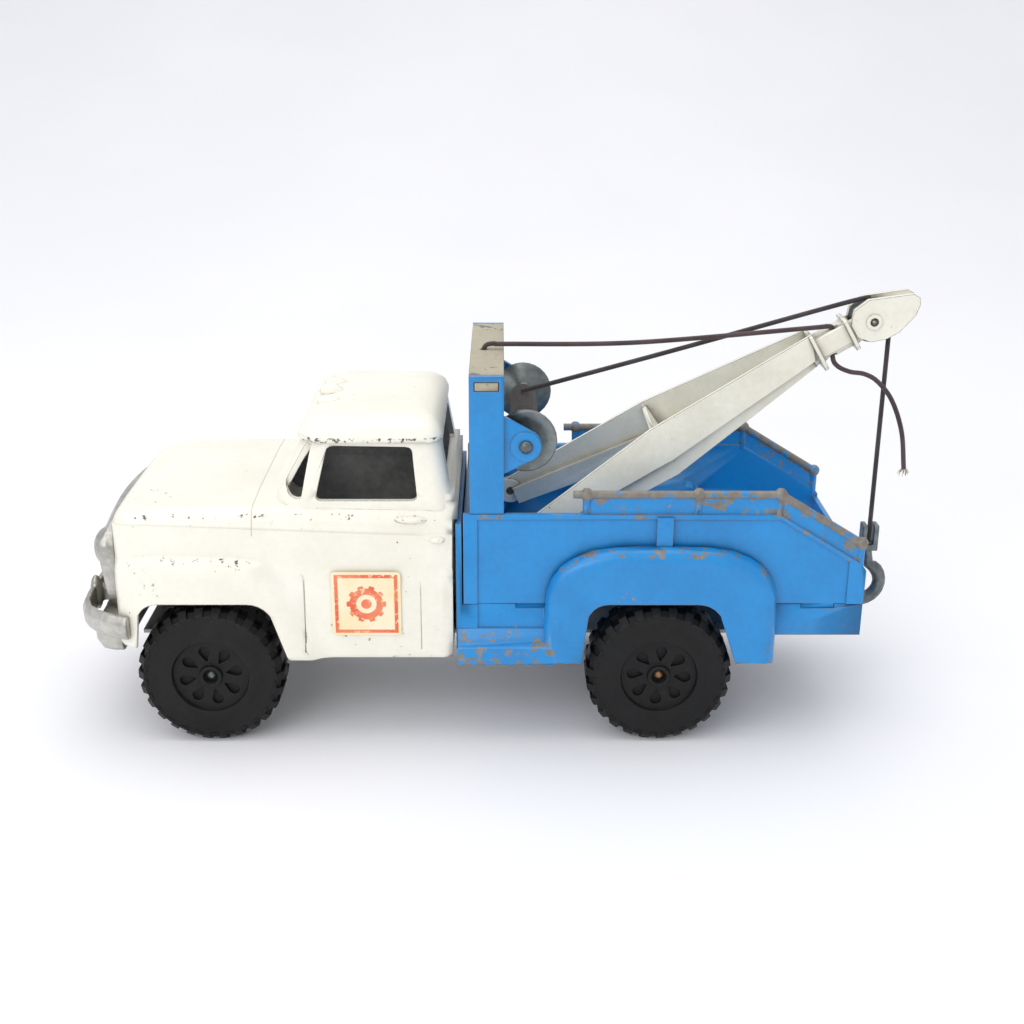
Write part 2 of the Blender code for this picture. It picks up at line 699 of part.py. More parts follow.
def fender_outline(inset):
    """The rear fender's outer line in X and Z, rounded at the top and straight at the feet."""
    half_width = FENDER_HALF_WIDTH - inset
    knee_z = 52.0
    points = [(at(WHEELBASE - half_width), FENDER_BOTTOM_Z + inset * 0.3)]
    steps = 14
    for k in range(steps + 1):
        turn = math.pi * k / steps
        across = math.copysign(abs(math.cos(turn)) ** 0.62, math.cos(turn))
        up = math.sin(turn) ** 0.7 if 0 < k < steps else 0.0
        points.append((at(WHEELBASE - half_width * across), knee_z + (FENDER_TOP_Z - inset - knee_z) * up))
    points.append((at(WHEELBASE + half_width), FENDER_BOTTOM_Z + inset * 0.3))
    return points


def rear_arch():
    return arch_outline(at(WHEELBASE), ARCH_HALF_WIDTH, ARCH_TOP_Z, FENDER_BOTTOM_Z - 3)


def tab_tools(prefix, clearance):
    """Blocks for the bed's tabs, or with a clearance for the notches that take them."""
    tools = []
    for i, (start, end) in enumerate(TAB_STATIONS):
        for sign in (-1, 1):
            outer = SKIRT_Y + clearance * 4 - 0.2
            ends = sorted((sign * (SKIRT_Y - CASTING_WALL - clearance), sign * outer))
            mesh = block(at(start) - clearance, at(end) + clearance, *ends,
                         SEAM_Z - TAB_DEPTH - clearance, SEAM_Z + 1)
            tools.append(finish("%s_tab_tool_%d%d" % (prefix, i, sign + 2), mesh, BLUE_PAINT))
    return tools


def make_rear_body():
    top = SEAM_Z - GAP
    front = BULKHEAD_STATION
    rear = BED_REAR_STATION
    body = finish("rear_body", block(at(front + 0.3), at(rear), -SKIRT_Y, SKIRT_Y, SKIRT_Z - 3, top), BLUE_PAINT)
    inner = SKIRT_Y - CASTING_WALL
    room = block(at(front + BULKHEAD_WALL), at(rear - CASTING_WALL), -inner, inner, SKIRT_Z - 9, DECK_Z)
    cut(body, finish("body_room_tool", room, BLUE_PAINT))
    step = block(at(WHEELBASE + 20), at(rear + 3), -60, 60, SKIRT_Z - 9, SKIRT_Z)
    cut(body, finish("body_step_tool", step, BLUE_PAINT))
    bulkhead = block(at(front), at(front + BULKHEAD_WALL), -BED_Y, BED_Y, PLATE_TOP_Z + GAP, BULKHEAD_TOP_Z)
    unite(body, finish("body_bulkhead_tool", bulkhead, BLUE_PAINT))
    for sign in (-1, 1):
        key = sign + 2
        ends = sorted((sign * (SKIRT_Y - 1), sign * BED_Y))
        strip = block(at(front + 1), at(BED_FRONT_STATION + STRIP_WIDTH), *ends, SKIRT_Z - 3, top)
        unite(body, finish("body_strip_tool_%d" % key, strip, BLUE_PAINT))
        board = [(43.4, 47.0), (46.1, 46.6), (47.4, 42.4), (51.0, RUNNING_BOARD_Z + 0.4),
                 (51.7, RUNNING_BOARD_Z - 0.4), (51.7, RUNNING_BOARD_BOTTOM_Z), (49.6, RUNNING_BOARD_BOTTOM_Z),
                 (49.6, 38.4), (43.4, 38.4)]
        board = [(sign * y, z) for y, z in board]
        mesh = prism(board, "X", at(front + 0.6), at(WHEELBASE - FENDER_HALF_WIDTH + 4))
        unite(body, finish("body_board_tool_%d" % key, mesh, BLUE_PAINT))
        levels = ((FENDER_INNER_Y, 0.0), (47.6, 0.0), (50.2, 1.0), (51.5, 2.8), (FENDER_Y, 5.0))
        rings = [[(x, sign * y, z) for x, z in fender_outline(inset)] for y, inset in levels]
        unite(body, finish("body_fender_tool_%d" % key, skin(rings), BLUE_PAINT))
        ends = sorted((sign * (SKIRT_Y - 1.5), sign * (FENDER_INNER_Y + 1)))
        foot = block(at(WHEELBASE - FENDER_HALF_WIDTH), at(WHEELBASE + FENDER_HALF_WIDTH), *ends,
                     FENDER_BOTTOM_Z, top)
        unite(body, finish("body_fender_foot_tool_%d" % key, foot, BLUE_PAINT))
        ends = sorted((sign * 31, sign * (SKIRT_Y - 0.5)))
        well = block(at(WHEELBASE - ARCH_HALF_WIDTH), at(WHEELBASE + ARCH_HALF_WIDTH), *ends, 40, 60)
        cut(body, finish("body_well_tool_%d" % key, well, BLUE_PAINT))
        ends = sorted((sign * (FENDER_INNER_Y - 0.5), sign * (BED_Y + 2)))
        notch = block(at(MIDDLE_RIB[0]) - GAP, at(MIDDLE_RIB[1]) + GAP, *ends, MIDDLE_RIB_FOOT_Z - GAP, 90)
        cut(body, finish("body_rib_notch_tool_%d" % key, notch, BLUE_PAINT))
    cut(body, finish("body_arch_tool", prism(rear_arch(), "Y", -60, 60), BLUE_PAINT))
    cut(body, *tab_tools("body", GAP))
    for i, station in enumerate(BODY_RIVET_STATIONS):
        post = rod((at(station), 0, PLATE_TOP_Z + GAP), (at(station), 0, DECK_Z + 1), RIVET_POST_RADIUS)
        unite(body, finish("body_post_tool_%d" % i, post, BLUE_PAINT))
        bore = rod((at(station), 0, PLATE_TOP_Z - 4), (at(station), 0, PLATE_TOP_Z + RIVET_GRIP + 0.6),
                   RIVET_RADIUS + GAP)
        cut(body, finish("body_post_bore_tool_%d" % i, bore, BLUE_PAINT))
    weld(body)


# upper bed with its rails


def line_z(start_z, station):
    """A height that is level to SLOPE_STATION and then falls to the tail."""
    fall = max(0.0, station - SLOPE_STATION) / (BALL_STATIONS[-1] - SLOPE_STATION)
    return start_z - SLOPE_DROP * fall


def make_bed():
    front = BED_FRONT_STATION
    rear = BED_REAR_STATION
    wall = BED_Y - 2.7
    floor = block(at(front + 0.6), at(rear - 0.6), -wall - 1, wall + 1, BED_FLOOR_Z - 2, BED_FLOOR_Z)
    bed = finish("bed", floor, BLUE_PAINT)
    headboard = block(at(front + 0.3), at(front + CASTING_WALL), -wall - 0.8, wall + 0.8, SEAM_Z + 0.7, LEDGE_Z - 0.3)
    tailboard = block(at(rear - CASTING_WALL), at(rear - 0.3), -wall - 0.8, wall + 0.8, SEAM_Z + 0.7, TAILBOARD_Z)
    unite(bed, finish("bed_headboard_tool", headboard, BLUE_PAINT),
          finish("bed_tailboard_tool", tailboard, BLUE_PAINT))
    side = [(at(front), SEAM_Z), (at(front), LEDGE_Z), (at(SLOPE_STATION), LEDGE_Z),
            (at(rear - 2), line_z(LEDGE_Z, rear - 2)), (at(rear), line_z(LEDGE_Z, rear) - 1.5), (at(rear), SEAM_Z)]
    fields = (
        [(at(front + STRIP_WIDTH), SEAM_Z - 4), (at(front + STRIP_WIDTH), LEDGE_Z - LEDGE_THICKNESS),
         (at(MIDDLE_RIB[0]), LEDGE_Z - LEDGE_THICKNESS), (at(MIDDLE_RIB[0]), SEAM_Z - 4)],
        [(at(MIDDLE_RIB[1]), SEAM_Z - 4), (at(MIDDLE_RIB[1]), LEDGE_Z - LEDGE_THICKNESS),
         (at(SLOPE_STATION), LEDGE_Z - LEDGE_THICKNESS),
         (at(REAR_STRIP_STATION), line_z(LEDGE_Z, REAR_STRIP_STATION) - LEDGE_THICKNESS),
         (at(REAR_STRIP_STATION), SEAM_Z - 4)],
    )
    rail_stations = (RAIL_FRONT_STATION, SLOPE_STATION, BALL_STATIONS[-1])
    for sign in (-1, 1):
        key = sign + 2
        ends = sorted((sign * wall, sign * BED_Y))
        panel = finish("bed_side_tool_%d" % key, prism(side, "Y", *ends), BLUE_PAINT)
        unite(bed, panel)
        for i, field in enumerate(fields):
            ends = sorted((sign * SKIRT_Y, sign * (BED_Y + 3)))
            cut(bed, finish("bed_field_tool_%d%d" % (i, key), prism(field, "Y", *ends), BLUE_PAINT))
        ends = sorted((sign * (SKIRT_Y - 1), sign * (BED_Y + 1.4)))
        rib = block(at(MIDDLE_RIB[0]), at(MIDDLE_RIB[1]), *ends, MIDDLE_RIB_FOOT_Z, LEDGE_Z - 0.6)
        unite(bed, finish("bed_rib_tool_%d" % key, rib, BLUE_PAINT))
        web = [(at(BALL_STATIONS[0] - 1.5), LEDGE_Z - 1), (at(BALL_STATIONS[0] - 1.5), RAIL_Z),
               (at(SLOPE_STATION), RAIL_Z), (at(BALL_STATIONS[-1]), line_z(RAIL_Z, BALL_STATIONS[-1])),
               (at(BALL_STATIONS[-1]), line_z(LEDGE_Z, BALL_STATIONS[-1]) - 1), (at(SLOPE_STATION), LEDGE_Z - 1)]
        ends = sorted((sign * (RAIL_Y - RAIL_WEB / 2), sign * (RAIL_Y + RAIL_WEB / 2)))
        unite(bed, finish("bed_web_tool_%d" % key, prism(web, "Y", *ends), BLUE_PAINT))
        for i, (start, end) in enumerate(zip(rail_stations, rail_stations[1:])):
            bar = rod((at(start), sign * RAIL_Y, line_z(RAIL_Z, start)),
                      (at(end), sign * RAIL_Y, line_z(RAIL_Z, end)), RAIL_BAR_RADIUS, 8)
            unite(bed, finish("bed_bar_tool_%d%d" % (i, key), bar, BLUE_PAINT))
        for i, station in enumerate(BALL_STATIONS):
            z = line_z(RAIL_Z, station)
            knob = ball((at(station), sign * RAIL_Y, z), (RAIL_BALL_RADIUS,) * 3, 8, 6)
            stanchion = rod((at(station), sign * RAIL_Y, line_z(LEDGE_Z, station) - 2),
                            (at(station), sign * RAIL_Y, z), 1.5, 8)
            unite(bed, finish("bed_ball_tool_%d%d" % (i, key), knob, BLUE_PAINT),
                  finish("bed_stanchion_tool_%d%d" % (i, key), stanchion, BLUE_PAINT))
        ends = sorted((sign * WELL_Y, sign * (wall + 0.5)))
        hump = arch_outline(at(WHEELBASE), ARCH_HALF_WIDTH + 4, 79.0, BED_FLOOR_Z - 1)
        unite(bed, finish("bed_hump_tool_%d" % key, prism(hump, "Y", *ends), BLUE_PAINT))
    cut(bed, finish("bed_arch_tool", prism(rear_arch(), "Y", -60, 60), BLUE_PAINT))
    unite(bed, *tab_tools("bed", 0))
    weld(bed)


# mast and winch


def make_mast_leg(name, sign):
    front = MAST_STATION
    rear = MAST_STATION + MAST_DEPTH
    foot_z = LEDGE_Z + GAP
    web_inner = MAST_Y - MAST_WEB

    def plate(part, y0, y1, outline):
        ends = sorted((sign * y0, sign * y1))
        return finish("%s_%s_tool" % (name, part), prism(outline, "Y", *ends), BLUE_PAINT)

    web = [(at(front), foot_z), (at(rear), foot_z), (at(rear), MAST_TOP_Z), (at(front), MAST_TOP_Z)]
    ends = sorted((sign * web_inner, sign * MAST_Y))
    leg = finish(name, prism(web, "Y", *ends), BLUE_PAINT)
    flange_top = MAST_TOP_Z - BEAM_DEPTH - GAP
    for part, start in (("front_flange", front), ("rear_flange", rear - LEG_FLANGE)):
        outline = [(at(start), foot_z), (at(start + LEG_FLANGE), foot_z), (at(start + LEG_FLANGE), flange_top),
                   (at(start), flange_top)]
        unite(leg, plate(part, LEG_INNER_Y, web_inner + 1, outline))
    tongue_y = BED_Y - 2.7 - GAP
    ear = [(at(front), BED_FLOOR_Z + GAP), (at(PIVOT_STATION), PIVOT_Z - PIVOT_EAR_RADIUS)]
    for k in range(7):
        turn = math.pi * (k / 6 - 0.5)
        ear.append((at(PIVOT_STATION) + PIVOT_EAR_RADIUS * math.cos(turn),
                    PIVOT_Z + PIVOT_EAR_RADIUS * math.sin(turn)))
    tongue_top = max(LEDGE_Z + 7.3, PIVOT_Z + 14)
    ear = [ear[0], (at(rear), BED_FLOOR_Z + GAP)] + ear[2:] + [(at(rear), PIVOT_Z + 9), (at(rear), tongue_top),
                                                             (at(front), tongue_top)]
    unite(leg, plate("tongue", tongue_y - MAST_WEB, tongue_y, ear))
    lug = [(at(rear - 3), WINCH_Z + 11.3), (at(rear + 0.4), WINCH_Z + 11.3)]
    for k in range(7):
        turn = math.radians(52) - math.radians(104) * k / 6
        lug.append((at(WINCH_STATION) + LUG_RADIUS * math.cos(turn), WINCH_Z + LUG_RADIUS * math.sin(turn)))
    lug += [(at(rear + 0.4), WINCH_Z - 10.6), (at(rear - 3), WINCH_Z - 10.6)]
    unite(leg, plate("lug", LUG_OUTER_Y - LUG_WALL, LUG_OUTER_Y, lug))
    centre_y = sign * LUG_OUTER_Y
    boss = rod((at(WINCH_STATION), centre_y - sign, WINCH_Z), (at(WINCH_STATION), centre_y + sign * LUG_BOSS, WINCH_Z),
               LUG_RADIUS - 0.2, 20)
    unite(leg, finish(name + "_boss_tool", boss, BLUE_PAINT))
    bore = rod((at(WINCH_STATION), -60, WINCH_Z), (at(WINCH_STATION), 60, WINCH_Z), WINCH_AXLE_RADIUS + AXLE_PLAY)
    pin_bore = rod((at(PIVOT_STATION), -60, PIVOT_Z), (at(PIVOT_STATION), 60, PIVOT_Z), PIVOT_PIN_RADIUS + AXLE_PLAY)
    slot = block(at(front + TAB_INSET) - GAP, at(rear - TAB_INSET) + GAP, -60, 60, TAB_Z - GAP,
                 TAB_Z + TAB_HEIGHT + GAP)
    cut(leg, finish(name + "_bore_tool", bore, BLUE_PAINT), finish(name + "_pin_bore_tool", pin_bore, BLUE_PAINT),
        finish(name + "_slot_tool", slot, BLUE_PAINT))


def make_beam():
    front = at(MAST_STATION)
    rear = at(MAST_STATION + MAST_DEPTH)
    end_y = MAST_Y - MAST_WEB - GAP
    top = MAST_TOP_Z
    beam = finish("mast_beam", block(front, rear, -end_y, end_y, top - BEAM_DEPTH, top), TAN_PAINT)
    room = block(front + 1.8, rear - 1.8, -end_y + 2.4, end_y - 2.4, top - BEAM_DEPTH - 3, top - 1.8)
    cut(beam, finish("beam_room_tool", room, TAN_PAINT))
    for sign in (-1, 1):
        ends = sorted((sign * (end_y - 1), sign * (MAST_Y + 0.2)))
        tab = block(front + TAB_INSET, rear - TAB_INSET, *ends, TAB_Z, TAB_Z + TAB_HEIGHT)
        unite(beam, finish("beam_tab_tool_%d" % (sign + 2), tab, TAN_PAINT))
    hole = rod((at(STAY_STATION), STAY_Y, top - 5), (at(STAY_STATION), STAY_Y, top + 4), BEAM_HOLE_RADIUS)
    cut(beam, finish("beam_hole_tool", hole, TAN_PAINT))


def make_winch():
    centre = (at(WINCH_STATION), 0, WINCH_Z)
    head_start = LUG_OUTER_Y + LUG_BOSS + GAP
    half = [(WINCH_AXLE_RADIUS, head_start), (2.6, head_start), (2.4, head_start + 0.8), (1.5, head_start + 1.5),
            (0.5, head_start + 1.8)]
    profile = [(radius, -y) for radius, y in reversed(half)] + half
    finish("winch_axle", turned(profile, centre, 16), BARE_ZINC, centre)
    bore = WINCH_AXLE_RADIUS + AXLE_PLAY
    hub_end = LUG_OUTER_Y - LUG_WALL - GAP
    edge = SPOOL_HALF_WIDTH
    side = [(SPOOL_CORE_RADIUS, edge - 7.2), (5.0, edge - 6.4), (9.4, edge - 3.2), (SPOOL_RADIUS, edge - 2.0),
            (SPOOL_RADIUS, edge - 0.4), (SPOOL_RADIUS - 0.6, edge), (8.0, edge - 0.6), (4.6, edge - 1.6),
            (3.4, edge), (3.4, hub_end), (bore, hub_end)]
    profile = [(radius, -y) for radius, y in reversed(side)] + side
    finish("winch_spool", turned(profile, centre, 28, closed=True), DARK_ZINC, centre)
    inner = SPOOL_CORE_RADIUS + GAP
    outer = inner + 2 * CORD_RADIUS
    coil_y = edge - 9.0
    profile = [(inner, -coil_y), (outer - 0.4, -coil_y), (outer, -coil_y + 1), (outer, coil_y - 1),
               (outer - 0.4, coil_y), (inner, coil_y)]
    finish("winch_cord_coil", turned(profile, centre, 20, closed=True), BRAIDED_CORD, centre)


# boom


def reach_point(reach, rise, y=0.0):
    """A point given from the boom's pivot line."""
    return Vector((at(PIVOT_STATION) + reach, y, PIVOT_Z + rise))


def leg_ring(section, outer_y, sign):
    """The Z-shaped cross-section of a leg: an upper web, a step inwards and a lower web."""
    top, low, strip = (reach_point(*point) for point in section)
    up = (top - low).normalized() * BOOM_WALL
    lift = (low - strip).normalized() * BOOM_WALL
    step_y = outer_y - FLANGE_STEP
    points = [
        (top, outer_y),
        (low, outer_y),
        (low, step_y),
        (strip, step_y),
        (strip, step_y - BOOM_WALL),
        (low + up, step_y - BOOM_WALL),
        (low + up, outer_y - BOOM_WALL),
        (top, outer_y - BOOM_WALL),
    ]
    return [(point.x, sign * y, point.z) for point, y in points]


def neck_frame():
    """Unit vectors along the neck and square to it."""
    along = Vector((math.cos(NECK_TILT), 0, math.sin(NECK_TILT)))
    across = Vector((-math.sin(NECK_TILT), 0, math.cos(NECK_TILT)))
    return along, across


def slab(centre, thickness, half_height, half_width, chamfer):
    """A plate square to the neck."""
    along, across = neck_frame()
    low = -half_height
    outline = [(low, -half_width + chamfer), (low + chamfer, -half_width), (half_height - 0.8, -half_width),
               (half_height, -half_width + 0.8), (half_height, half_width - 0.8), (half_height - 0.8, half_width),
               (low + chamfer, half_width), (low, half_width - chamfer)]
    rings = []
    for end in (-thickness / 2, thickness / 2):
        base = centre + along * end
        rings.append([tuple(base + across * h + Vector((0, w, 0))) for h, w in outline])
    return skin(rings)


def make_boom():
    legs = []
    for sign in (-1, 1):
        rings = [leg_ring(FOOT_SECTION, FOOT_Y, sign), leg_ring(KINK_SECTION, KINK_Y, sign),
                 leg_ring(NECK_SECTION, NECK_Y, sign)]
        legs.append(finish("boom" if sign < 0 else "boom_leg_tool", skin(rings), CREAM_PAINT))
    boom = legs[0]
    first = reach_point(COLLAR_REACHES[0][0], COLLAR_REACHES[0][1])
    along, across = neck_frame()
    neck_length = 26.0
    neck = slab(first + along * (neck_length / 2 - 3), neck_length, NECK_HALF_HEIGHT, NECK_HALF_WIDTH, 2.4)
    unite(boom, finish("boom_neck_tool", neck, CREAM_PAINT), legs[1])
    for i, (reach, rise, half_height, half_width) in enumerate(COLLAR_REACHES):
        collar = slab(reach_point(reach, rise), 1.6, half_height, half_width, 1.5)
        unite(boom, finish("boom_collar_tool_%d" % i, collar, CREAM_PAINT))
    head = [tuple(reach_point(*point).xz) for point in HEAD_OUTLINE]
    cheek_y = CHEEK_GAP / 2 + CHEEK_WALL
    unite(boom, finish("boom_head_tool", prism(head, "Y", -cheek_y, cheek_y), CREAM_PAINT))
    pin = reach_point(HEAD_REACH - 0.7, HEAD_RISE + 0.2)
    slot = turned([(SHEAVE_RADIUS + 0.9, -CHEEK_GAP / 2), (SHEAVE_RADIUS + 0.9, CHEEK_GAP / 2)], pin, 28)
    slot_tail = [tuple(reach_point(*point).xz) for point in ((141, 70), (170, 70), (170, 100), (139.6, 100))]
    boss = rod((pin.x, -cheek_y - BOSS_HEIGHT, pin.z), (pin.x, cheek_y + BOSS_HEIGHT, pin.z), BOSS_RADIUS, 18)
    unite(boom, finish("boom_boss_tool", boss, CREAM_PAINT))
    cut(boom, finish("boom_slot_tool", slot, CREAM_PAINT),
        finish("boom_slot_tail_tool", prism(slot_tail, "Y", -CHEEK_GAP / 2, CHEEK_GAP / 2), CREAM_PAINT))
    bore = rod((pin.x, -20, pin.z), (pin.x, 20, pin.z), SHEAVE_PIN_RADIUS + AXLE_PLAY)
    cut(boom, finish("boom_pin_bore_tool", bore, CREAM_PAINT))

    kink = [reach_point(*point) for point in KINK_SECTION]
    half = Vector((math.cos(NECK_TILT), 0, math.sin(NECK_TILT))) * BOOM_WALL / 2
    low = kink[0].lerp(kink[1], 0.12)
    outline = [tuple((low - half).xz), tuple((kink[2] - half).xz), tuple((kink[2] + half).xz),
               tuple((low + half).xz)]
    rib_y = KINK_Y - BOOM_WALL / 2 - FLANGE_STEP
    rib = prism(outline, "Y", -rib_y, rib_y)
    unite(boom, finish("boom_rib_tool", rib, CREAM_PAINT))
    upper = [tuple((low - half).xz), tuple((kink[1] - half).xz), tuple((kink[1] + half).xz),
             tuple((low + half).xz)]
    wide_y = KINK_Y - BOOM_WALL / 2
    unite(boom, finish("boom_rib_top_tool", prism(upper, "Y", -wide_y, wide_y), CREAM_PAINT))

    for sign in (-1, 1):
        ends = (sign * (FOOT_Y - 3.4), sign * (FOOT_Y + 1.2))
        foot = rod((at(PIVOT_STATION), ends[0], PIVOT_Z), (at(PIVOT_STATION), ends[1], PIVOT_Z), 5.4, 20)
        unite(boom, finish("boom_foot_tool_%d" % (sign + 2), foot, CREAM_PAINT))
    pivot_bore = rod((at(PIVOT_STATION), -60, PIVOT_Z), (at(PIVOT_STATION), 60, PIVOT_Z),
                     PIVOT_PIN_RADIUS + AXLE_PLAY)
    top = reach_point(STAY_NECK_REACH, 95)
    stay_bore = rod((top.x - 0.4, STAY_Y, PIVOT_Z + 60), (top.x - 0.4, STAY_Y, PIVOT_Z + 95), CORD_RADIUS + 3 * GAP)
    cut(boom, finish("boom_pivot_bore_tool", pivot_bore, CREAM_PAINT),
        finish("boom_stay_bore_tool", stay_bore, CREAM_PAINT))
    return boom


def make_pins_and_sheave():
    tongue_y = BED_Y - 2.7 - GAP
    for name, sign in (("boom_pivot_pin_left", -1), ("boom_pivot_pin_right", 1)):
        start = sign * (FOOT_Y - 3.0)
        end = sign * (tongue_y - 0.3)
        pin = rod((at(PIVOT_STATION), start, PIVOT_Z), (at(PIVOT_STATION), end, PIVOT_Z), PIVOT_PIN_RADIUS, 14)
        finish(name, pin, BARE_ZINC)
    pin = reach_point(HEAD_REACH - 0.7, HEAD_RISE + 0.2)
    end = CHEEK_GAP / 2 + CHEEK_WALL + BOSS_HEIGHT - 0.2
    finish("sheave_pin", rod((pin.x, -end, pin.z), (pin.x, end, pin.z), SHEAVE_PIN_RADIUS, 14), BARE_ZINC)
    bore = SHEAVE_PIN_RADIUS + AXLE_PLAY
    half = SHEAVE_WIDTH / 2
    groove = SHEAVE_GROOVE_RADIUS
    profile = [(bore, -half), (SHEAVE_RADIUS, -half), (SHEAVE_RADIUS, -half + 0.5), (groove + 0.4, -0.95),
               (groove, -0.4), (groove, 0.4), (groove + 0.4, 0.95), (SHEAVE_RADIUS, half - 0.5),
               (SHEAVE_RADIUS, half), (bore, half)]
    finish("sheave", turned(profile, tuple(pin), 28, closed=True), DARK_ZINC, tuple(pin))


# hook and cords


def hang_x():
    return reach_point(HEAD_REACH - 0.7, 0).x + SHEAVE_GROOVE_RADIUS + CORD_RADIUS + 0.15


def make_hook():
    x = hang_x()
    eye = finish("hook", block(x - EYE_X / 2, x + EYE_X / 2, -EYE_Y / 2, EYE_Y / 2, EYE_LOW_Z, EYE_TOP_Z), DARK_ZINC,
                 (x, 0, EYE_TOP_Z))
    slot = block(x - EYE_SLOT / 2, x + EYE_SLOT / 2, -EYE_Y, EYE_Y, EYE_LOW_Z + 2.6, EYE_TOP_Z + 3)
    cut(eye, finish("hook_slot_tool", slot, DARK_ZINC))
    centre = Vector((x + HOOK_OFFSET, 0, HOOK_CENTRE_Z))
    spine = [(Vector((x, 0, EYE_LOW_Z + 1.0)), 2.2), (Vector((x, 0, EYE_LOW_Z - 1.6)), 2.0)]
    turns = 14
    for k in range(turns + 1):
        angle = math.radians(68 - 206 * k / turns)
        share = k / turns
        wire = HOOK_WIRE * min(1.0, 0.82 + share * 1.2) * (1 - 0.35 * max(0.0, share - 0.75) / 0.25)
        spine.append((centre + Vector((math.cos(angle), 0, math.sin(angle))) * HOOK_RADIUS, wire))
    rings = []
    for i, (point, wire) in enumerate(spine):
        before = spine[max(i - 1, 0)][0]
        after = spine[min(i + 1, len(spine) - 1)][0]
        along = (after - before).normalized()
        side = along.cross(Vector((0, 1, 0)))
        rings.append([tuple(point + side * wire * math.cos(t) + Vector((0, wire * math.sin(t), 0)))
                      for t in (2 * math.pi * k / 10 for k in range(10))])
    unite(eye, finish("hook_round_tool", skin(rings), DARK_ZINC))


def smooth_route(points, spacing):
    """Points about a spacing apart on a smooth curve through hand-chosen ones."""
    route = [Vector(point) for point in points]
    ends = [route[0] * 2 - route[1]] + route + [route[-1] * 2 - route[-2]]
    result = [route[0]]
    for i in range(1, len(ends) - 2):
        a, b, c, d = ends[i - 1:i + 3]
        steps = max(1, round((c - b).length / spacing))
        for k in range(1, steps + 1):
            t = k / steps
            result.append(0.5 * (2 * b + (c - a) * t + (2 * a - 5 * b + 4 * c - d) * t**2
                                 + (3 * b - a - 3 * c + d) * t**3))
    return result


def cord(name, points, spacing):
    curve = bpy.data.curves.new(name, "CURVE")
    curve.dimensions = "3D"
    curve.bevel_depth = CORD_RADIUS * MM
    curve.bevel_resolution = 2
    curve.use_fill_caps = True
    spline = curve.splines.new("POLY")
    route = smooth_route(points, spacing)
    spline.points.add(len(route) - 1)
    for place, point in zip(spline.points, route):
        place.co = (*(point * MM), 1)
    curve.materials.append(paint(name, *BRAIDED_CORD))
    made = bpy.data.objects.new(name, curve)
    bpy.context.scene.collection.objects.link(made)
    return made


def make_cords():
    x = hang_x()
    pin = reach_point(HEAD_REACH - 0.7, HEAD_RISE + 0.2)
    over = SHEAVE_GROOVE_RADIUS + CORD_RADIUS + 0.15
    arc = []
    for degrees in (108, 90, 70, 48, 24, 4):
        turn = math.radians(degrees)
        arc.append((pin.x + over * math.cos(turn), 0, pin.z + over * math.sin(turn)))
    drum_top = SPOOL_CORE_RADIUS + GAP + 3 * CORD_RADIUS + GAP
    start = (at(WINCH_STATION) - 1.2, 9.6, WINCH_Z + drum_top)
    span = [start, (start[0] + 12, 9.0, start[2] + 3.4), (start[0] + 60, 5.4, start[2] + 17.8),
            (pin.x - 8, 0.4, pin.z + over - 0.7)]
    cord("hoist_cord_span", span + arc, 4.6)
    fall_top = arc[-1][2] - 0.6
    cord("hoist_cord_fall", [(x, 0, fall_top), (x, 0, 130), (x, 0, 100), (x, 0, EYE_LOW_Z + 3.2)], 4.6)

    hole_x = at(STAY_STATION)
    neck = reach_point(STAY_NECK_REACH, 0)
    y = STAY_Y
    neck_top = PIVOT_Z + 80.4
    stay = [(hole_x, y, MAST_TOP_Z - 1.4), (hole_x, y, MAST_TOP_Z + 0.4), (hole_x + 1.4, y, MAST_TOP_Z + 1.9),
            (hole_x + 4.6, y, MAST_TOP_Z + 2.3), (hole_x + 9.0, y, MAST_TOP_Z + 2.1),
            (hole_x + 60, y, MAST_TOP_Z + 2.8), (neck.x - 12, y, neck_top - 0.5), (neck.x - 3.2, y, neck_top + 0.4),
            (neck.x - 0.9, y, neck_top - 0.5), (neck.x, y, neck_top - 3.4)]
    cord("stay_cord", stay, 3.6)
    low = PIVOT_Z + 68.4
    tail = [(neck.x, y, neck_top - 4.2), (neck.x, y, low), (neck.x + 2.2, y, low - 3.6),
            (neck.x + 7.2, y - 0.4, low - 5.8), (neck.x + 13.0, y - 1.0, low - 6.6),
            (neck.x + 18.4, y - 1.6, low - 9.6), (neck.x + 24.6, y - 2.2, low - 17.2),
            (neck.x + 29.6, y - 2.6, low - 30.0), (neck.x + 32.0, y - 2.8, low - 45.6)]
    cord("stay_cord_tail", tail, 3.6)


# wheels, axles, labels


def make_wheel(name, station, sign):
    """A tyre and hub in one moulding, its outer face towards sign."""
    half = TYRE_WIDTH / 2
    radius = TYRE_RADIUS
    centre = (at(station), sign * (WHEEL_FACE_Y - half), TYRE_RADIUS)
    bore = AXLE_RADIUS + AXLE_PLAY
    well = AXLE_HEAD_RADIUS + 0.5
    profile = [(bore, -half + 1.0), (bore, half - 3.6), (well, half - 3.6), (well, half - 1.0), (4.4, half - 1.0),
               (4.8, half - 2.4), (HUB_RADIUS - 1.5, half - 2.4), (HUB_RADIUS, half - 1.4), (19.0, half),
               (radius - 4.0, half - 0.3), (radius, half - 3.4), (radius, -half + 3.4), (radius - 4.0, -half)]
    profile = [(r, sign * y) for r, y in profile]
    wheel = turned(profile, centre, 40, closed=True)
    finish(name, wheel, BLACK_RUBBER, centre)


def make_axle(name, station):
    half = TYRE_WIDTH / 2
    seat = WHEEL_FACE_Y - half + (half - 3.6) + GAP
    end = [(AXLE_RADIUS, seat), (AXLE_HEAD_RADIUS, seat), (AXLE_HEAD_RADIUS, seat + 1.2), (0.9, seat + 1.9)]
    profile = [(radius, -y) for radius, y in reversed(end)] + end
    centre = (at(station), 0, TYRE_RADIUS)
    finish(name, turned(profile, centre, 14), AGED_STEEL, centre)


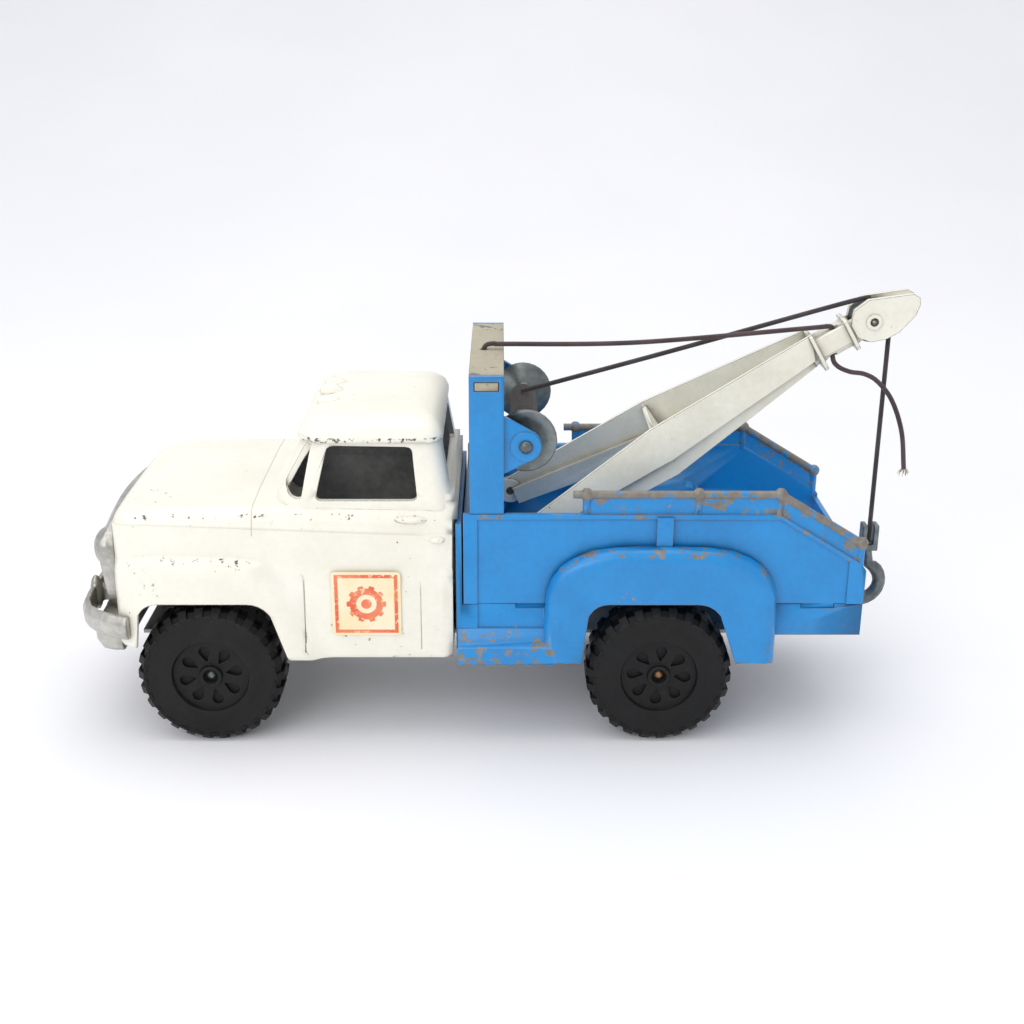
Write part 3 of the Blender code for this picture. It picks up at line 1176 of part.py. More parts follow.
def make_labels():
    outline = rounded([(at(48.2), 45.6), (at(74.8), 45.6), (at(74.8), 72.0), (at(48.2), 72.0)], 1.6, 2)
    for name, sign in (("door_label_left", -1), ("door_label_right", 1)):
        ends = sorted((sign * (DOOR_Y + GAP), sign * (DOOR_Y + GAP + 0.25)))
        finish(name, prism(outline, "Y", *ends), LABEL_PAPER)


make_cab()
make_base_plate()
make_rivets()
make_grille()
make_bumper()
make_valance()
make_rear_body()
make_bed()
make_mast_leg("mast_leg_left", -1)
make_mast_leg("mast_leg_right", 1)
make_beam()
make_winch()
make_boom()
make_pins_and_sheave()
make_hook()
make_cords()
for side, sign in (("left", -1), ("right", 1)):
    make_wheel("wheel_front_" + side, 0, sign)
    make_wheel("wheel_rear_" + side, WHEELBASE, sign)
make_axle("axle_front", 0)
make_axle("axle_rear", WHEELBASE)
make_labels()
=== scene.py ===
import math

import bmesh
import bpy
from mathutils import Matrix, Vector


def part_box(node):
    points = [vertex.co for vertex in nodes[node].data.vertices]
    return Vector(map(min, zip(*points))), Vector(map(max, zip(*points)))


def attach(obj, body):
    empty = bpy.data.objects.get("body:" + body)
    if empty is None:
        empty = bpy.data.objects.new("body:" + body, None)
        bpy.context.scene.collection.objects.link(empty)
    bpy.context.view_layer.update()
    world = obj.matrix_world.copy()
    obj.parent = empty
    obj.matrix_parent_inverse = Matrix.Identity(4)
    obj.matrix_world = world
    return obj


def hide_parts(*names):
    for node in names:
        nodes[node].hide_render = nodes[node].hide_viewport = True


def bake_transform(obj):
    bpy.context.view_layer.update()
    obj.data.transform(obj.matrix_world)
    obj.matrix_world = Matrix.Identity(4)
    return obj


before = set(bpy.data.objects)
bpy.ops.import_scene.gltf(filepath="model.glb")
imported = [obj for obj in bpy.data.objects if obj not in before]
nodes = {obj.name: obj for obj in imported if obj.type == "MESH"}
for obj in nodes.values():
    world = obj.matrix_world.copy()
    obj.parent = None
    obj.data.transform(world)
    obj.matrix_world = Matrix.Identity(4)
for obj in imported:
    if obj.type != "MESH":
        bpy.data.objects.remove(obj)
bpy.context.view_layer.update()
scene = bpy.context.scene


cameraSettings = {
    "lens": 49.22,
    "place": (0.00135, -0.54165, 0.27869),
    "pitch": 69.68,  # degrees up from straight down
    "yaw": -0.53,
    "roll": 0.23,
}


def makeCamera(s):
    data = bpy.data.cameras.new("mainCamera")
    data.lens = s["lens"]
    data.sensor_width = 36
    data.clip_start = 0.01
    camera = bpy.data.objects.new("mainCamera", data)
    scene.collection.objects.link(camera)
    turn = Matrix.Rotation(math.radians(s["yaw"]), 4, "Z")
    turn = turn @ Matrix.Rotation(math.radians(s["pitch"]), 4, "X")
    turn = turn @ Matrix.Rotation(math.radians(s["roll"]), 4, "Z")
    camera.matrix_world = Matrix.Translation(s["place"]) @ turn
    scene.camera = camera


makeCamera(cameraSettings)


def centreOf(name):
    low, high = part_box(name)
    return (Vector(low) + Vector(high)) / 2


def cleanStart():
    if bpy.context.mode != "OBJECT":
        bpy.ops.object.mode_set(mode="OBJECT")
    bpy.ops.object.select_all(action="DESELECT")


def pick(piece):
    cleanStart()
    bpy.context.view_layer.objects.active = piece
    piece.select_set(True)


def applyModifiers(piece):
    pick(piece)
    for modifier in list(piece.modifiers):
        bpy.ops.object.modifier_apply(modifier=modifier.name)


def settle(piece):
    # puts the piece's place, turn and size into its mesh
    pick(piece)
    bpy.ops.object.transform_apply(location=True, rotation=True, scale=True)


def smoothAt(piece, degrees):
    pick(piece)
    bpy.ops.object.shade_smooth_by_angle(angle=math.radians(degrees))


def recalculate(piece):
    pick(piece)
    bpy.ops.object.mode_set(mode="EDIT")
    bpy.ops.mesh.select_all(action="SELECT")
    bpy.ops.mesh.remove_doubles(threshold=0.000002)
    bpy.ops.mesh.normals_make_consistent(inside=False)
    bpy.ops.object.mode_set(mode="OBJECT")


def dress(piece, material):
    piece.data.materials.clear()
    piece.data.materials.append(material)


def joinedCopy(node, name):
    copy = bpy.data.objects.new(name, nodes[node].data.copy())
    scene.collection.objects.link(copy)
    pick(copy)
    bpy.ops.object.mode_set(mode="EDIT")
    bpy.ops.mesh.select_all(action="SELECT")
    bpy.ops.mesh.remove_doubles(threshold=0.000005)
    bpy.ops.object.mode_set(mode="OBJECT")
    return copy


def castingCopy(node, name, degrees=32):
    # a joined copy of a CAD casting, so that its curved skin can be shaded smooth
    copy = joinedCopy(node, name)
    smoothAt(copy, degrees)
    copy.modifiers.new("evenShading", "WEIGHTED_NORMAL").keep_sharp = True
    applyModifiers(copy)
    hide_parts(node)
    return copy


def softCopy(node, name, grain, smoothing=4, degrees=50):
    # a joined copy remeshed fine, so that every edge is rounded off as in a small casting
    copy = joinedCopy(node, name)
    remesh = copy.modifiers.new("fineSkin", "REMESH")
    remesh.mode = "VOXEL"
    remesh.voxel_size = grain
    soften = copy.modifiers.new("soften", "SMOOTH")
    soften.iterations = smoothing
    soften.factor = 0.5
    applyModifiers(copy)
    smoothAt(copy, degrees)
    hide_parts(node)
    return copy


def newGroup(name, inputs, outputs):
    group = bpy.data.node_groups.new(name, "ShaderNodeTree")
    for label, kind, value in inputs:
        socket = group.interface.new_socket(label, in_out="INPUT", socket_type=kind)
        if value is not None:
            socket.default_value = value
    for label, kind in outputs:
        group.interface.new_socket(label, in_out="OUTPUT", socket_type=kind)
    start = group.nodes.new("NodeGroupInput")
    end = group.nodes.new("NodeGroupOutput")
    return group, start, end


def mathNode(tree, operation, first, second=0.0, clamp=False):
    node = tree.nodes.new("ShaderNodeMath")
    node.operation = operation
    node.use_clamp = clamp
    for i, value in enumerate((first, second)):
        if isinstance(value, (int, float)):
            node.inputs[i].default_value = value
        else:
            tree.links.new(value, node.inputs[i])
    return node.outputs[0]


def ramp(tree, value, low, high, toLow=0.0, toHigh=1.0):
    node = tree.nodes.new("ShaderNodeMapRange")
    node.interpolation_type = "SMOOTHSTEP"
    tree.links.new(value, node.inputs["Value"])
    for label, amount in (("From Min", low), ("From Max", high), ("To Min", toLow), ("To Max", toHigh)):
        if isinstance(amount, (int, float)):
            node.inputs[label].default_value = amount
        else:
            tree.links.new(amount, node.inputs[label])
    return node.outputs["Result"]


def noiseOf(tree, scale, detail=3.0, roughness=0.55):
    node = tree.nodes.new("ShaderNodeTexNoise")
    node.inputs["Scale"].default_value = scale
    node.inputs["Detail"].default_value = detail
    node.inputs["Roughness"].default_value = roughness
    coords = tree.nodes.new("ShaderNodeTexCoord")
    tree.links.new(coords.outputs["Object"], node.inputs["Vector"])
    return node.outputs["Fac"]


def mixColor(tree, factor, first, second):
    node = tree.nodes.new("ShaderNodeMix")
    node.data_type = "RGBA"
    if isinstance(factor, (int, float)):
        node.inputs["Factor"].default_value = factor
    else:
        tree.links.new(factor, node.inputs["Factor"])
    for label, color in (("A", first), ("B", second)):
        socket = [s for s in node.inputs if s.name == label and s.type == "RGBA"][0]
        if isinstance(color, tuple):
            socket.default_value = (*color, 1)
        else:
            tree.links.new(color, socket)
    return [s for s in node.outputs if s.type == "RGBA"][0]


def placeGroup(tree, group, values):
    node = tree.nodes.new("ShaderNodeGroup")
    node.node_tree = group
    for label, value in values.items():
        node.inputs[label].default_value = value
    return node


def newMaterial(name):
    material = bpy.data.materials.new(name)
    material.use_nodes = True
    tree = material.node_tree
    return material, tree, tree.nodes["Principled BSDF"]


def bumpInto(tree, shader, height, strength, distance, normal=None):
    # roughens the surface over a normal that is already rounded, where there is one
    node = tree.nodes.new("ShaderNodeBump")
    node.inputs["Strength"].default_value = strength
    node.inputs["Distance"].default_value = distance
    tree.links.new(height, node.inputs["Height"])
    if normal is not None:
        tree.links.new(normal, node.inputs["Normal"])
    tree.links.new(node.outputs["Normal"], shader.inputs["Normal"])


def makeEdgeGroup():
    # paint lost along edges, and the rounded normal that hides a knife edge
    group, start, end = newGroup(
        "edgeChips",
        [("Radius", "NodeSocketFloat", 0.0006), ("Amount", "NodeSocketFloat", 0.5),
         ("Chip Size", "NodeSocketFloat", 900.0)],
        [("Edge", "NodeSocketFloat"), ("Chips", "NodeSocketFloat"), ("Normal", "NodeSocketVector")])
    bevel = group.nodes.new("ShaderNodeBevel")
    bevel.samples = 6
    group.links.new(start.outputs["Radius"], bevel.inputs["Radius"])
    geometry = group.nodes.new("ShaderNodeNewGeometry")
    dot = group.nodes.new("ShaderNodeVectorMath")
    dot.operation = "DOT_PRODUCT"
    group.links.new(bevel.outputs["Normal"], dot.inputs[0])
    group.links.new(geometry.outputs["Normal"], dot.inputs[1])
    edge = ramp(group, mathNode(group, "SUBTRACT", 1.0, dot.outputs["Value"]), 0.004, 0.12)
    coords = group.nodes.new("ShaderNodeTexCoord")
    grain = group.nodes.new("ShaderNodeTexNoise")
    group.links.new(coords.outputs["Object"], grain.inputs["Vector"])
    group.links.new(start.outputs["Chip Size"], grain.inputs["Scale"])
    grain.inputs["Detail"].default_value = 4
    grain.inputs["Roughness"].default_value = 0.65
    patches = noiseOf(group, 55.0, 2.0)
    level = mathNode(group, "ADD", mathNode(group, "MULTIPLY", edge, 0.55),
                     mathNode(group, "MULTIPLY", patches, 0.35))
    level = mathNode(group, "ADD", level, mathNode(group, "MULTIPLY", grain.outputs["Fac"], 0.55))
    level = mathNode(group, "ADD", level, mathNode(group, "MULTIPLY", start.outputs["Amount"], 0.35))
    chips = mathNode(group, "MULTIPLY", ramp(group, level, 0.93, 0.99), ramp(group, edge, 0.02, 0.3))
    group.links.new(edge, end.inputs["Edge"])
    group.links.new(chips, end.inputs["Chips"])
    group.links.new(bevel.outputs["Normal"], end.inputs["Normal"])
    return group


def makeSpotGroup():
    # small chips and knocks scattered over flat paint
    group, start, end = newGroup(
        "strayKnocks",
        [("Amount", "NodeSocketFloat", 0.3), ("Scale", "NodeSocketFloat", 260.0)],
        [("Spots", "NodeSocketFloat")])
    coords = group.nodes.new("ShaderNodeTexCoord")
    fine = group.nodes.new("ShaderNodeTexNoise")
    group.links.new(coords.outputs["Object"], fine.inputs["Vector"])
    group.links.new(start.outputs["Scale"], fine.inputs["Scale"])
    fine.inputs["Detail"].default_value = 5
    fine.inputs["Roughness"].default_value = 0.7
    broad = noiseOf(group, 34.0, 2.0)
    level = mathNode(group, "ADD", mathNode(group, "MULTIPLY", fine.outputs["Fac"], 0.72),
                  mathNode(group, "MULTIPLY", broad, 0.38))
    level = mathNode(group, "ADD", level, mathNode(group, "MULTIPLY", start.outputs["Amount"], 0.10))
    spots = ramp(group, level, 0.735, 0.755)
    group.links.new(spots, end.inputs["Spots"])
    return group


def makeGrimeAndShadeGroup():
    # dust and hand dirt, plus painted shade: ambient occlusion darkens the low places and hollows
    group, start, end = newGroup(
        "grimeAndShade",
        [("Strength", "NodeSocketFloat", 0.4)],
        [("GrimeAndShade", "NodeSocketFloat"), ("Mottle", "NodeSocketFloat")])
    ambient = group.nodes.new("ShaderNodeAmbientOcclusion")
    ambient.samples = 6
    ambient.inputs["Distance"].default_value = 0.006
    # painted shade: the ambient occlusion mask darkens creases and recesses, on top of the dirt
    hollowShade = ramp(group, ambient.outputs["AO"], 0.95, 0.35)
    mottle = noiseOf(group, 42.0, 5.0, 0.6)
    fine = noiseOf(group, 420.0, 3.0, 0.6)
    grimeAndShade = mathNode(group, "MULTIPLY", hollowShade, start.outputs["Strength"])
    grimeAndShade = mathNode(group, "MULTIPLY", grimeAndShade, ramp(group, mottle, 0.25, 0.65, 0.5, 1.0))
    blend = mathNode(group, "ADD", mathNode(group, "MULTIPLY", mottle, 0.7),
                     mathNode(group, "MULTIPLY", fine, 0.3))
    group.links.new(grimeAndShade, end.inputs["GrimeAndShade"])
    group.links.new(blend, end.inputs["Mottle"])
    return group


edgeChips = makeEdgeGroup()
strayKnocks = makeSpotGroup()
grimeAndShadeGroup = makeGrimeAndShadeGroup()


def enamel(name, s):
    material, tree, shader = newMaterial(name)
    chipped = placeGroup(tree, edgeChips, {"Radius": s["edgeRadius"], "Amount": s["edgeWear"],
                                           "Chip Size": s["chipSize"]})
    knocks = placeGroup(tree, strayKnocks, {"Amount": s["knocks"], "Scale": s["knockScale"]})
    dirtAndShade = placeGroup(tree, grimeAndShadeGroup, {"Strength": s["grimeAndShade"]})
    lost = mathNode(tree, "MAXIMUM", chipped.outputs["Chips"], knocks.outputs["Spots"], clamp=True)
    worn = tree.nodes.new("ShaderNodeAttribute")
    worn.attribute_name = "worn"
    # shoulders that face up and out get rubbed, and so do the faces marked as worn
    coords = tree.nodes.new("ShaderNodeTexCoord")
    place = tree.nodes.new("ShaderNodeSeparateXYZ")
    tree.links.new(coords.outputs["Object"], place.inputs["Vector"])
    facing = tree.nodes.new("ShaderNodeSeparateXYZ")
    tree.links.new(coords.outputs["Normal"], facing.inputs["Vector"])
    sideways = mathNode(tree, "ABSOLUTE", place.outputs["Y"])
    outer = ramp(tree, sideways, s["shoulder"], s["shoulder"] + 0.0008)
    upward = ramp(tree, facing.outputs["Z"], 0.15, 0.5, 0.0, s["shoulderWear"])
    shoulder = mathNode(tree, "MULTIPLY", outer, upward)
    rubbed = mathNode(tree, "MAXIMUM", worn.outputs["Fac"], shoulder)
    level = mathNode(tree, "ADD", noiseOf(tree, s["wornScale"], 5.0, 0.68),
                     mathNode(tree, "MULTIPLY", rubbed, 0.3))
    patch = mathNode(tree, "MULTIPLY", ramp(tree, level, 0.70, 0.725), ramp(tree, rubbed, 0.02, 0.08))
    lost = mathNode(tree, "MAXIMUM", lost, patch, clamp=True)
    shade = mixColor(tree, ramp(tree, dirtAndShade.outputs["Mottle"], 0.3, 0.7), s["color"], s["colorWorn"])
    # darkened in the hollows: partly dirt, partly painted shade from the ambient occlusion mask
    shade = mixColor(tree, dirtAndShade.outputs["GrimeAndShade"], shade, s["dirtAndShade"])
    if "seam" in s:
        # the thin shut line across the hood and down to the belt
        seam = mathNode(tree, "ABSOLUTE", mathNode(tree, "SUBTRACT", place.outputs["X"], s["seam"]))
        aboveBelt = ramp(tree, place.outputs["Z"], 0.0858, 0.0866)
        seam = mathNode(tree, "MULTIPLY", ramp(tree, seam, 0.00028, 0.00012), aboveBelt)
        shade = mixColor(tree, mathNode(tree, "MULTIPLY", seam, 0.55), shade, s["dirtAndShade"])
    metal = mixColor(tree, noiseOf(tree, 300.0, 4.0), s["metalDark"], s["metalLight"])
    tree.links.new(mixColor(tree, lost, shade, metal), shader.inputs["Base Color"])
    rough = mathNode(tree, "ADD", s["roughness"], mathNode(tree, "MULTIPLY", dirtAndShade.outputs["Mottle"], 0.12))
    rough = mathNode(tree, "ADD", rough, mathNode(tree, "MULTIPLY", dirtAndShade.outputs["GrimeAndShade"], 0.25))
    tree.links.new(ramp(tree, lost, 0.0, 1.0, rough, 0.55), shader.inputs["Roughness"])
    tree.links.new(mathNode(tree, "MULTIPLY", lost, 0.35), shader.inputs["Metallic"])
    height = mathNode(tree, "SUBTRACT", mathNode(tree, "MULTIPLY", noiseOf(tree, s["peelScale"], 3.0), 0.25),
                   mathNode(tree, "MULTIPLY", lost, 0.5))
    bumpInto(tree, shader, height, s["bump"], 0.0002, chipped.outputs["Normal"])
    shader.inputs["Coat Weight"].default_value = s["coat"]
    shader.inputs["Coat Roughness"].default_value = 0.25
    return material


ivory = enamel("ivoryEnamel", {
    "color": (0.92, 0.90, 0.79), "colorWorn": (0.85, 0.82, 0.70), "dirtAndShade": (0.30, 0.26, 0.19),
    "metalDark": (0.06, 0.055, 0.05), "metalLight": (0.20, 0.19, 0.17), "roughness": 0.34,
    "edgeRadius": 0.0006,
    "edgeWear": 0.42, "chipSize": 700.0, "knocks": 0.15, "knockScale": 420.0, "grimeAndShade": 0.35,
    "wornScale": 420.0,
    "peelScale": 380.0, "bump": 0.35, "coat": 0.15, "shoulder": 0.0455, "shoulderWear": 0.36,
    "seam": centreOf("wheel_front_left").x + 0.019})
blue = enamel("blueEnamel", {
    "color": (0.006, 0.270, 0.66), "colorWorn": (0.006, 0.215, 0.55), "dirtAndShade": (0.02, 0.05, 0.10),
    "metalDark": (0.12, 0.11, 0.09), "metalLight": (0.34, 0.31, 0.26), "roughness": 0.30,
    "edgeRadius": 0.0007,
    "edgeWear": 0.75, "chipSize": 520.0, "knocks": 0.22, "knockScale": 300.0, "grimeAndShade": 0.45,
    "wornScale": 210.0,
    "peelScale": 300.0, "bump": 0.35, "coat": 0.25, "shoulder": 0.0455, "shoulderWear": 0.5})
agedIvory = enamel("agedIvoryEnamel", {
    "color": (0.90, 0.88, 0.76), "colorWorn": (0.78, 0.75, 0.62), "dirtAndShade": (0.14, 0.11, 0.07),
    "metalDark": (0.05, 0.045, 0.04), "metalLight": (0.16, 0.14, 0.12), "roughness": 0.38,
    "edgeRadius": 0.0006,
    "edgeWear": 0.22, "chipSize": 900.0, "knocks": 0.2, "knockScale": 420.0, "grimeAndShade": 0.8, "wornScale": 420.0,
    "peelScale": 380.0, "bump": 0.35, "coat": 0.1, "shoulder": 0.06, "shoulderWear": 0.3})
tan = enamel("tanEnamel", {
    "color": (0.46, 0.42, 0.30), "colorWorn": (0.38, 0.34, 0.25), "dirtAndShade": (0.12, 0.10, 0.07),
    "metalDark": (0.10, 0.09, 0.08), "metalLight": (0.28, 0.26, 0.22), "roughness": 0.5, "edgeRadius": 0.0006,
    "edgeWear": 0.6, "chipSize": 500.0, "knocks": 0.4, "knockScale": 300.0, "grimeAndShade": 0.5, "wornScale": 200.0,
    "peelScale": 300.0, "bump": 0.4, "coat": 0.0, "shoulder": 0.0300, "shoulderWear": 0.5})


def bareMetal(name, s):
    material, tree, shader = newMaterial(name)
    rounded = placeGroup(tree, edgeChips, {"Radius": 0.0005, "Amount": 0.2, "Chip Size": 500.0})
    dirtAndShade = placeGroup(tree, grimeAndShadeGroup, {"Strength": s["grimeAndShade"]})
    tone = mixColor(tree, ramp(tree, dirtAndShade.outputs["Mottle"], 0.3, 0.72), s["dark"], s["light"])
    # darkened in the hollows: partly dirt, partly painted shade from the ambient occlusion mask
    tone = mixColor(tree, dirtAndShade.outputs["GrimeAndShade"], tone, s["dirtAndShade"])
    tree.links.new(tone, shader.inputs["Base Color"])
    rough = mathNode(tree, "ADD", s["roughness"], mathNode(tree, "MULTIPLY", dirtAndShade.outputs["Mottle"], 0.25))
    tree.links.new(rough, shader.inputs["Roughness"])
    shader.inputs["Metallic"].default_value = s["metallic"]
    grain = noiseOf(tree, s["grainScale"], 5.0, 0.65)
    bumpInto(tree, shader, grain, s["bump"], 0.0002, rounded.outputs["Normal"])
    return material


brightMetal = bareMetal("dulledBrightMetal", {
    "dark": (0.34, 0.33, 0.29), "light": (0.66, 0.65, 0.60), "dirtAndShade": (0.10, 0.09, 0.07), "roughness": 0.26,
    "metallic": 0.85, "grimeAndShade": 0.6, "grainScale": 500.0, "bump": 0.35})
plateMetal = bareMetal("rolledPlate", {
    "dark": (0.26, 0.26, 0.25), "light": (0.46, 0.46, 0.44), "dirtAndShade": (0.10, 0.09, 0.08), "roughness": 0.34,
    "metallic": 0.9, "grimeAndShade": 0.5, "grainScale": 300.0, "bump": 0.25})
pinMetal = bareMetal("tarnishedPin", {
    "dark": (0.16, 0.09, 0.05), "light": (0.55, 0.30, 0.13), "dirtAndShade": (0.05, 0.03, 0.02), "roughness": 0.35,
    "metallic": 0.9, "grimeAndShade": 0.4, "grainScale": 700.0, "bump": 0.4})
darkMetal = bareMetal("darkCastMetal", {
    "dark": (0.075, 0.09, 0.09), "light": (0.27, 0.30, 0.295), "dirtAndShade": (0.03, 0.03, 0.03), "roughness": 0.26,
    "metallic": 0.75, "grimeAndShade": 0.5, "grainScale": 420.0, "bump": 0.45})


def rubber(name, s):
    material, tree, shader = newMaterial(name)
    rounded = placeGroup(tree, edgeChips, {"Radius": 0.0004, "Amount": 0.3, "Chip Size": 500.0})
    dirtAndShade = placeGroup(tree, grimeAndShadeGroup, {"Strength": 0.3})
    tone = mixColor(tree, ramp(tree, dirtAndShade.outputs["Mottle"], 0.35, 0.75), s["dark"], s["light"])
    dusty = mathNode(tree, "MULTIPLY", rounded.outputs["Edge"],
                     ramp(tree, noiseOf(tree, 160.0, 4.0), 0.45, 0.75))
    tone = mixColor(tree, mathNode(tree, "MULTIPLY", dusty, s["dust"]), tone, s["dustColor"])
    tree.links.new(tone, shader.inputs["Base Color"])
    rough = mathNode(tree, "ADD", s["roughness"], mathNode(tree, "MULTIPLY", dirtAndShade.outputs["Mottle"], 0.2))
    tree.links.new(rough, shader.inputs["Roughness"])
    bumpInto(tree, shader, noiseOf(tree, 650.0, 5.0, 0.7), 0.35, 0.0002, rounded.outputs["Normal"])
    shader.inputs["Specular IOR Level"].default_value = 0.3
    return material


blackRubber = rubber("agedTyreRubber", {
    "dark": (0.003, 0.003, 0.003), "light": (0.010, 0.0098, 0.0095), "dust": 0.3,
    "dustColor": (0.09, 0.086, 0.08), "roughness": 0.42})


def braid(name, s):
    # a woven jacket that follows the cord through its own UV map: u round it, v along it in metres
    material, tree, shader = newMaterial(name)
    uv = tree.nodes.new("ShaderNodeUVMap")
    split = tree.nodes.new("ShaderNodeSeparateXYZ")
    tree.links.new(uv.outputs["UV"], split.inputs["Vector"])
    around = mathNode(tree, "MULTIPLY", split.outputs["X"], 2 * math.pi * s["strands"])
    along = mathNode(tree, "MULTIPLY", split.outputs["Y"], 2 * math.pi / s["pitch"])
    left = mathNode(tree, "ABSOLUTE", mathNode(tree, "SINE", mathNode(tree, "ADD", around, along)))
    right = mathNode(tree, "ABSOLUTE", mathNode(tree, "SINE", mathNode(tree, "SUBTRACT", around, along)))
    weave = mathNode(tree, "MAXIMUM", left, right)
    depth = ramp(tree, weave, 0.62, 1.0)
    fuzz = noiseOf(tree, 900.0, 4.0, 0.7)
    patches = ramp(tree, noiseOf(tree, 70.0, 3.0), 0.38, 0.62)
    tone = mixColor(tree, patches, s["dark"], s["light"])
    # painted shade: the low parts of the weave between the strands are darkened towards the gap colour
    tone = mixColor(tree, mathNode(tree, "MULTIPLY", depth, 0.55), s["gapShade"], tone)
    tree.links.new(tone, shader.inputs["Base Color"])
    shader.inputs["Roughness"].default_value = 0.85
    shader.inputs["Sheen Weight"].default_value = 0.25
    shader.inputs["Sheen Roughness"].default_value = 0.5
    height = mathNode(tree, "ADD", depth, mathNode(tree, "MULTIPLY", fuzz, 0.5))
    bumpInto(tree, shader, height, 0.9, 0.0002)
    return material


hoistBraid = braid("oiledHoistCord", {"strands": 4, "pitch": 0.0021, "dark": (0.062, 0.048, 0.046),
                                      "light": (0.13, 0.10, 0.095), "gapShade": (0.018, 0.014, 0.014)})
stayBraid = braid("brownStayCord", {"strands": 4, "pitch": 0.0021, "dark": (0.10, 0.062, 0.062),
                                    "light": (0.20, 0.13, 0.125), "gapShade": (0.03, 0.018, 0.018)})
print("finishes ready")


cordSettings = {
    "radius": 0.00095,
    "sides": 14,
    "ringSpacing": 0.0007,
}
spool = centreOf("winch_spool")
sheave = centreOf("sheave")
pivot = centreOf("boom_pivot_pin_left")
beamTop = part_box("mast_beam")[1][2]
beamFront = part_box("mast_beam")[0][0]
grooveRadius = 0.0066
groove = grooveRadius + cordSettings["radius"] + 0.00015  # out to the middle of the cord on the sheave


def smoothRoute(points, spacing):
    route = [Vector(point) for point in points]
    ends = [route[0] * 2 - route[1]] + route + [route[-1] * 2 - route[-2]]
    result = [route[0]]
    for i in range(1, len(ends) - 2):
        a, b, c, d = ends[i - 1:i + 3]
        steps = max(1, round((c - b).length / spacing))
        for k in range(1, steps + 1):
            t = k / steps
            result.append(0.5 * (2 * b + (c - a) * t + (2 * a - 5 * b + 4 * c - d) * t**2
                                 + (3 * b - a - 3 * c + d) * t**3))
    return result


def tube(name, route, radius, sides, taper=None):
    # a round tube along a route, with a UV map that runs round and along it
    mesh = bmesh.new()
    uvLayer = mesh.loops.layers.uv.new("UVMap")
    across = None
    rings = []
    reached = 0.0
    distances = []
    for i, point in enumerate(route):
        ahead = (route[min(i + 1, len(route) - 1)] - route[max(i - 1, 0)]).normalized()
        if across is None:
            across = ahead.orthogonal().normalized()
        across = (across - ahead * across.dot(ahead)).normalized()
        other = ahead.cross(across)
        size = radius if taper is None else radius * taper(i / (len(route) - 1))
        rings.append([mesh.verts.new(point + (across * math.cos(t) + other * math.sin(t)) * size)
                      for t in (2 * math.pi * k / sides for k in range(sides))])
        if i:
            reached += (point - route[i - 1]).length
        distances.append(reached)
    for i in range(len(rings) - 1):
        for k in range(sides):
            m = (k + 1) % sides
            face = mesh.faces.new((rings[i][k], rings[i][m], rings[i + 1][m], rings[i + 1][k]))
            face.smooth = True
            corners = ((k, i), (k + 1, i), (k + 1, i + 1), (k, i + 1))
            for loop, (u, v) in zip(face.loops, corners):
                loop[uvLayer].uv = (u / sides, distances[v])
    mesh.faces.new(list(reversed(rings[0])))
    mesh.faces.new(rings[-1])
    bmesh.ops.recalc_face_normals(mesh, faces=mesh.faces)
    data = bpy.data.meshes.new(name)
    mesh.to_mesh(data)
    mesh.free()
    piece = bpy.data.objects.new(name, data)
    scene.collection.objects.link(piece)
    return piece


def makeCord(name, points, material):
    route = smoothRoute(points, cordSettings["ringSpacing"])
    piece = tube(name, route, cordSettings["radius"], cordSettings["sides"])
    dress(piece, material)
    return piece, route


# hoist cord: off the top of the drum, up to the boom head and over the sheave
drumRadius = 0.0034
coilBase = drumRadius + 0.0003  # the winding lies a hair off the drum
drumTop = coilBase + 0.00285 + 0.0003
start = (spool.x - 0.0012, 0.0096, spool.z + drumTop)
arc = []
for degrees in (108, 90, 70, 48, 24, 4):
    turn = math.radians(degrees)
    arc.append((sheave.x + groove * math.cos(turn), 0, sheave.z + groove * math.sin(turn)))
spanPoints = [start, (start[0] + 0.012, 0.009, start[2] + 0.0034),
              (start[0] + 0.060, 0.0054, start[2] + 0.0178),
              (sheave.x - 0.008, 0.0004, sheave.z + groove - 0.0007)] + arc
hoistSpan, hoistRoute = makeCord("hoistCordSpan", spanPoints, hoistBraid)
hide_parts("hoist_cord_span")
fallX = sheave.x + groove
fallTop = arc[-1][2] - 0.0006
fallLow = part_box("hoist_cord_fall")[0][2]
hoistFall, fallRoute = makeCord("hoistCordFall", [(fallX, 0, fallTop), (fallX, 0, 0.130), (fallX, 0, 0.100),
                                                  (fallX, 0, fallLow)], hoistBraid)
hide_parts("hoist_cord_fall")

# stay cord: out of the hole in the beam and down through the neck of the boom
stayX = beamFront + 0.0052
stayY = -0.0025
neckX = pivot.x + 0.127
neckTop = pivot.z + 0.0804
stayPoints = [(stayX, stayY, beamTop - 0.0014), (stayX, stayY, beamTop + 0.0004),
              (stayX + 0.0014, stayY, beamTop + 0.0019), (stayX + 0.0046, stayY, beamTop + 0.0023),
              (stayX + 0.0090, stayY, beamTop + 0.0021), (stayX + 0.060, stayY, beamTop + 0.0028),
              (neckX - 0.012, stayY, neckTop - 0.0005), (neckX - 0.0032, stayY, neckTop + 0.0004),
              (neckX - 0.0009, stayY, neckTop - 0.0005), (neckX, stayY, neckTop - 0.0034)]
stayCord, stayRoute = makeCord("stayCord", stayPoints, stayBraid)
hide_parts("stay_cord")
neckLow = pivot.z + 0.0684
tailPoints = [(neckX, stayY, neckTop - 0.0042), (neckX, stayY, neckLow),
              (neckX + 0.0022, stayY, neckLow - 0.0036),
              (neckX + 0.0072, stayY - 0.0004, neckLow - 0.0058),
              (neckX + 0.0130, stayY - 0.0010, neckLow - 0.0066),
              (neckX + 0.0184, stayY - 0.0016, neckLow - 0.0096),
              (neckX + 0.0246, stayY - 0.0022, neckLow - 0.0172),
              (neckX + 0.0296, stayY - 0.0026, neckLow - 0.0300),
              (neckX + 0.0320, stayY - 0.0028, neckLow - 0.0456)]
stayTail, tailRoute = makeCord("stayCordTail", tailPoints, stayBraid)
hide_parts("stay_cord_tail")


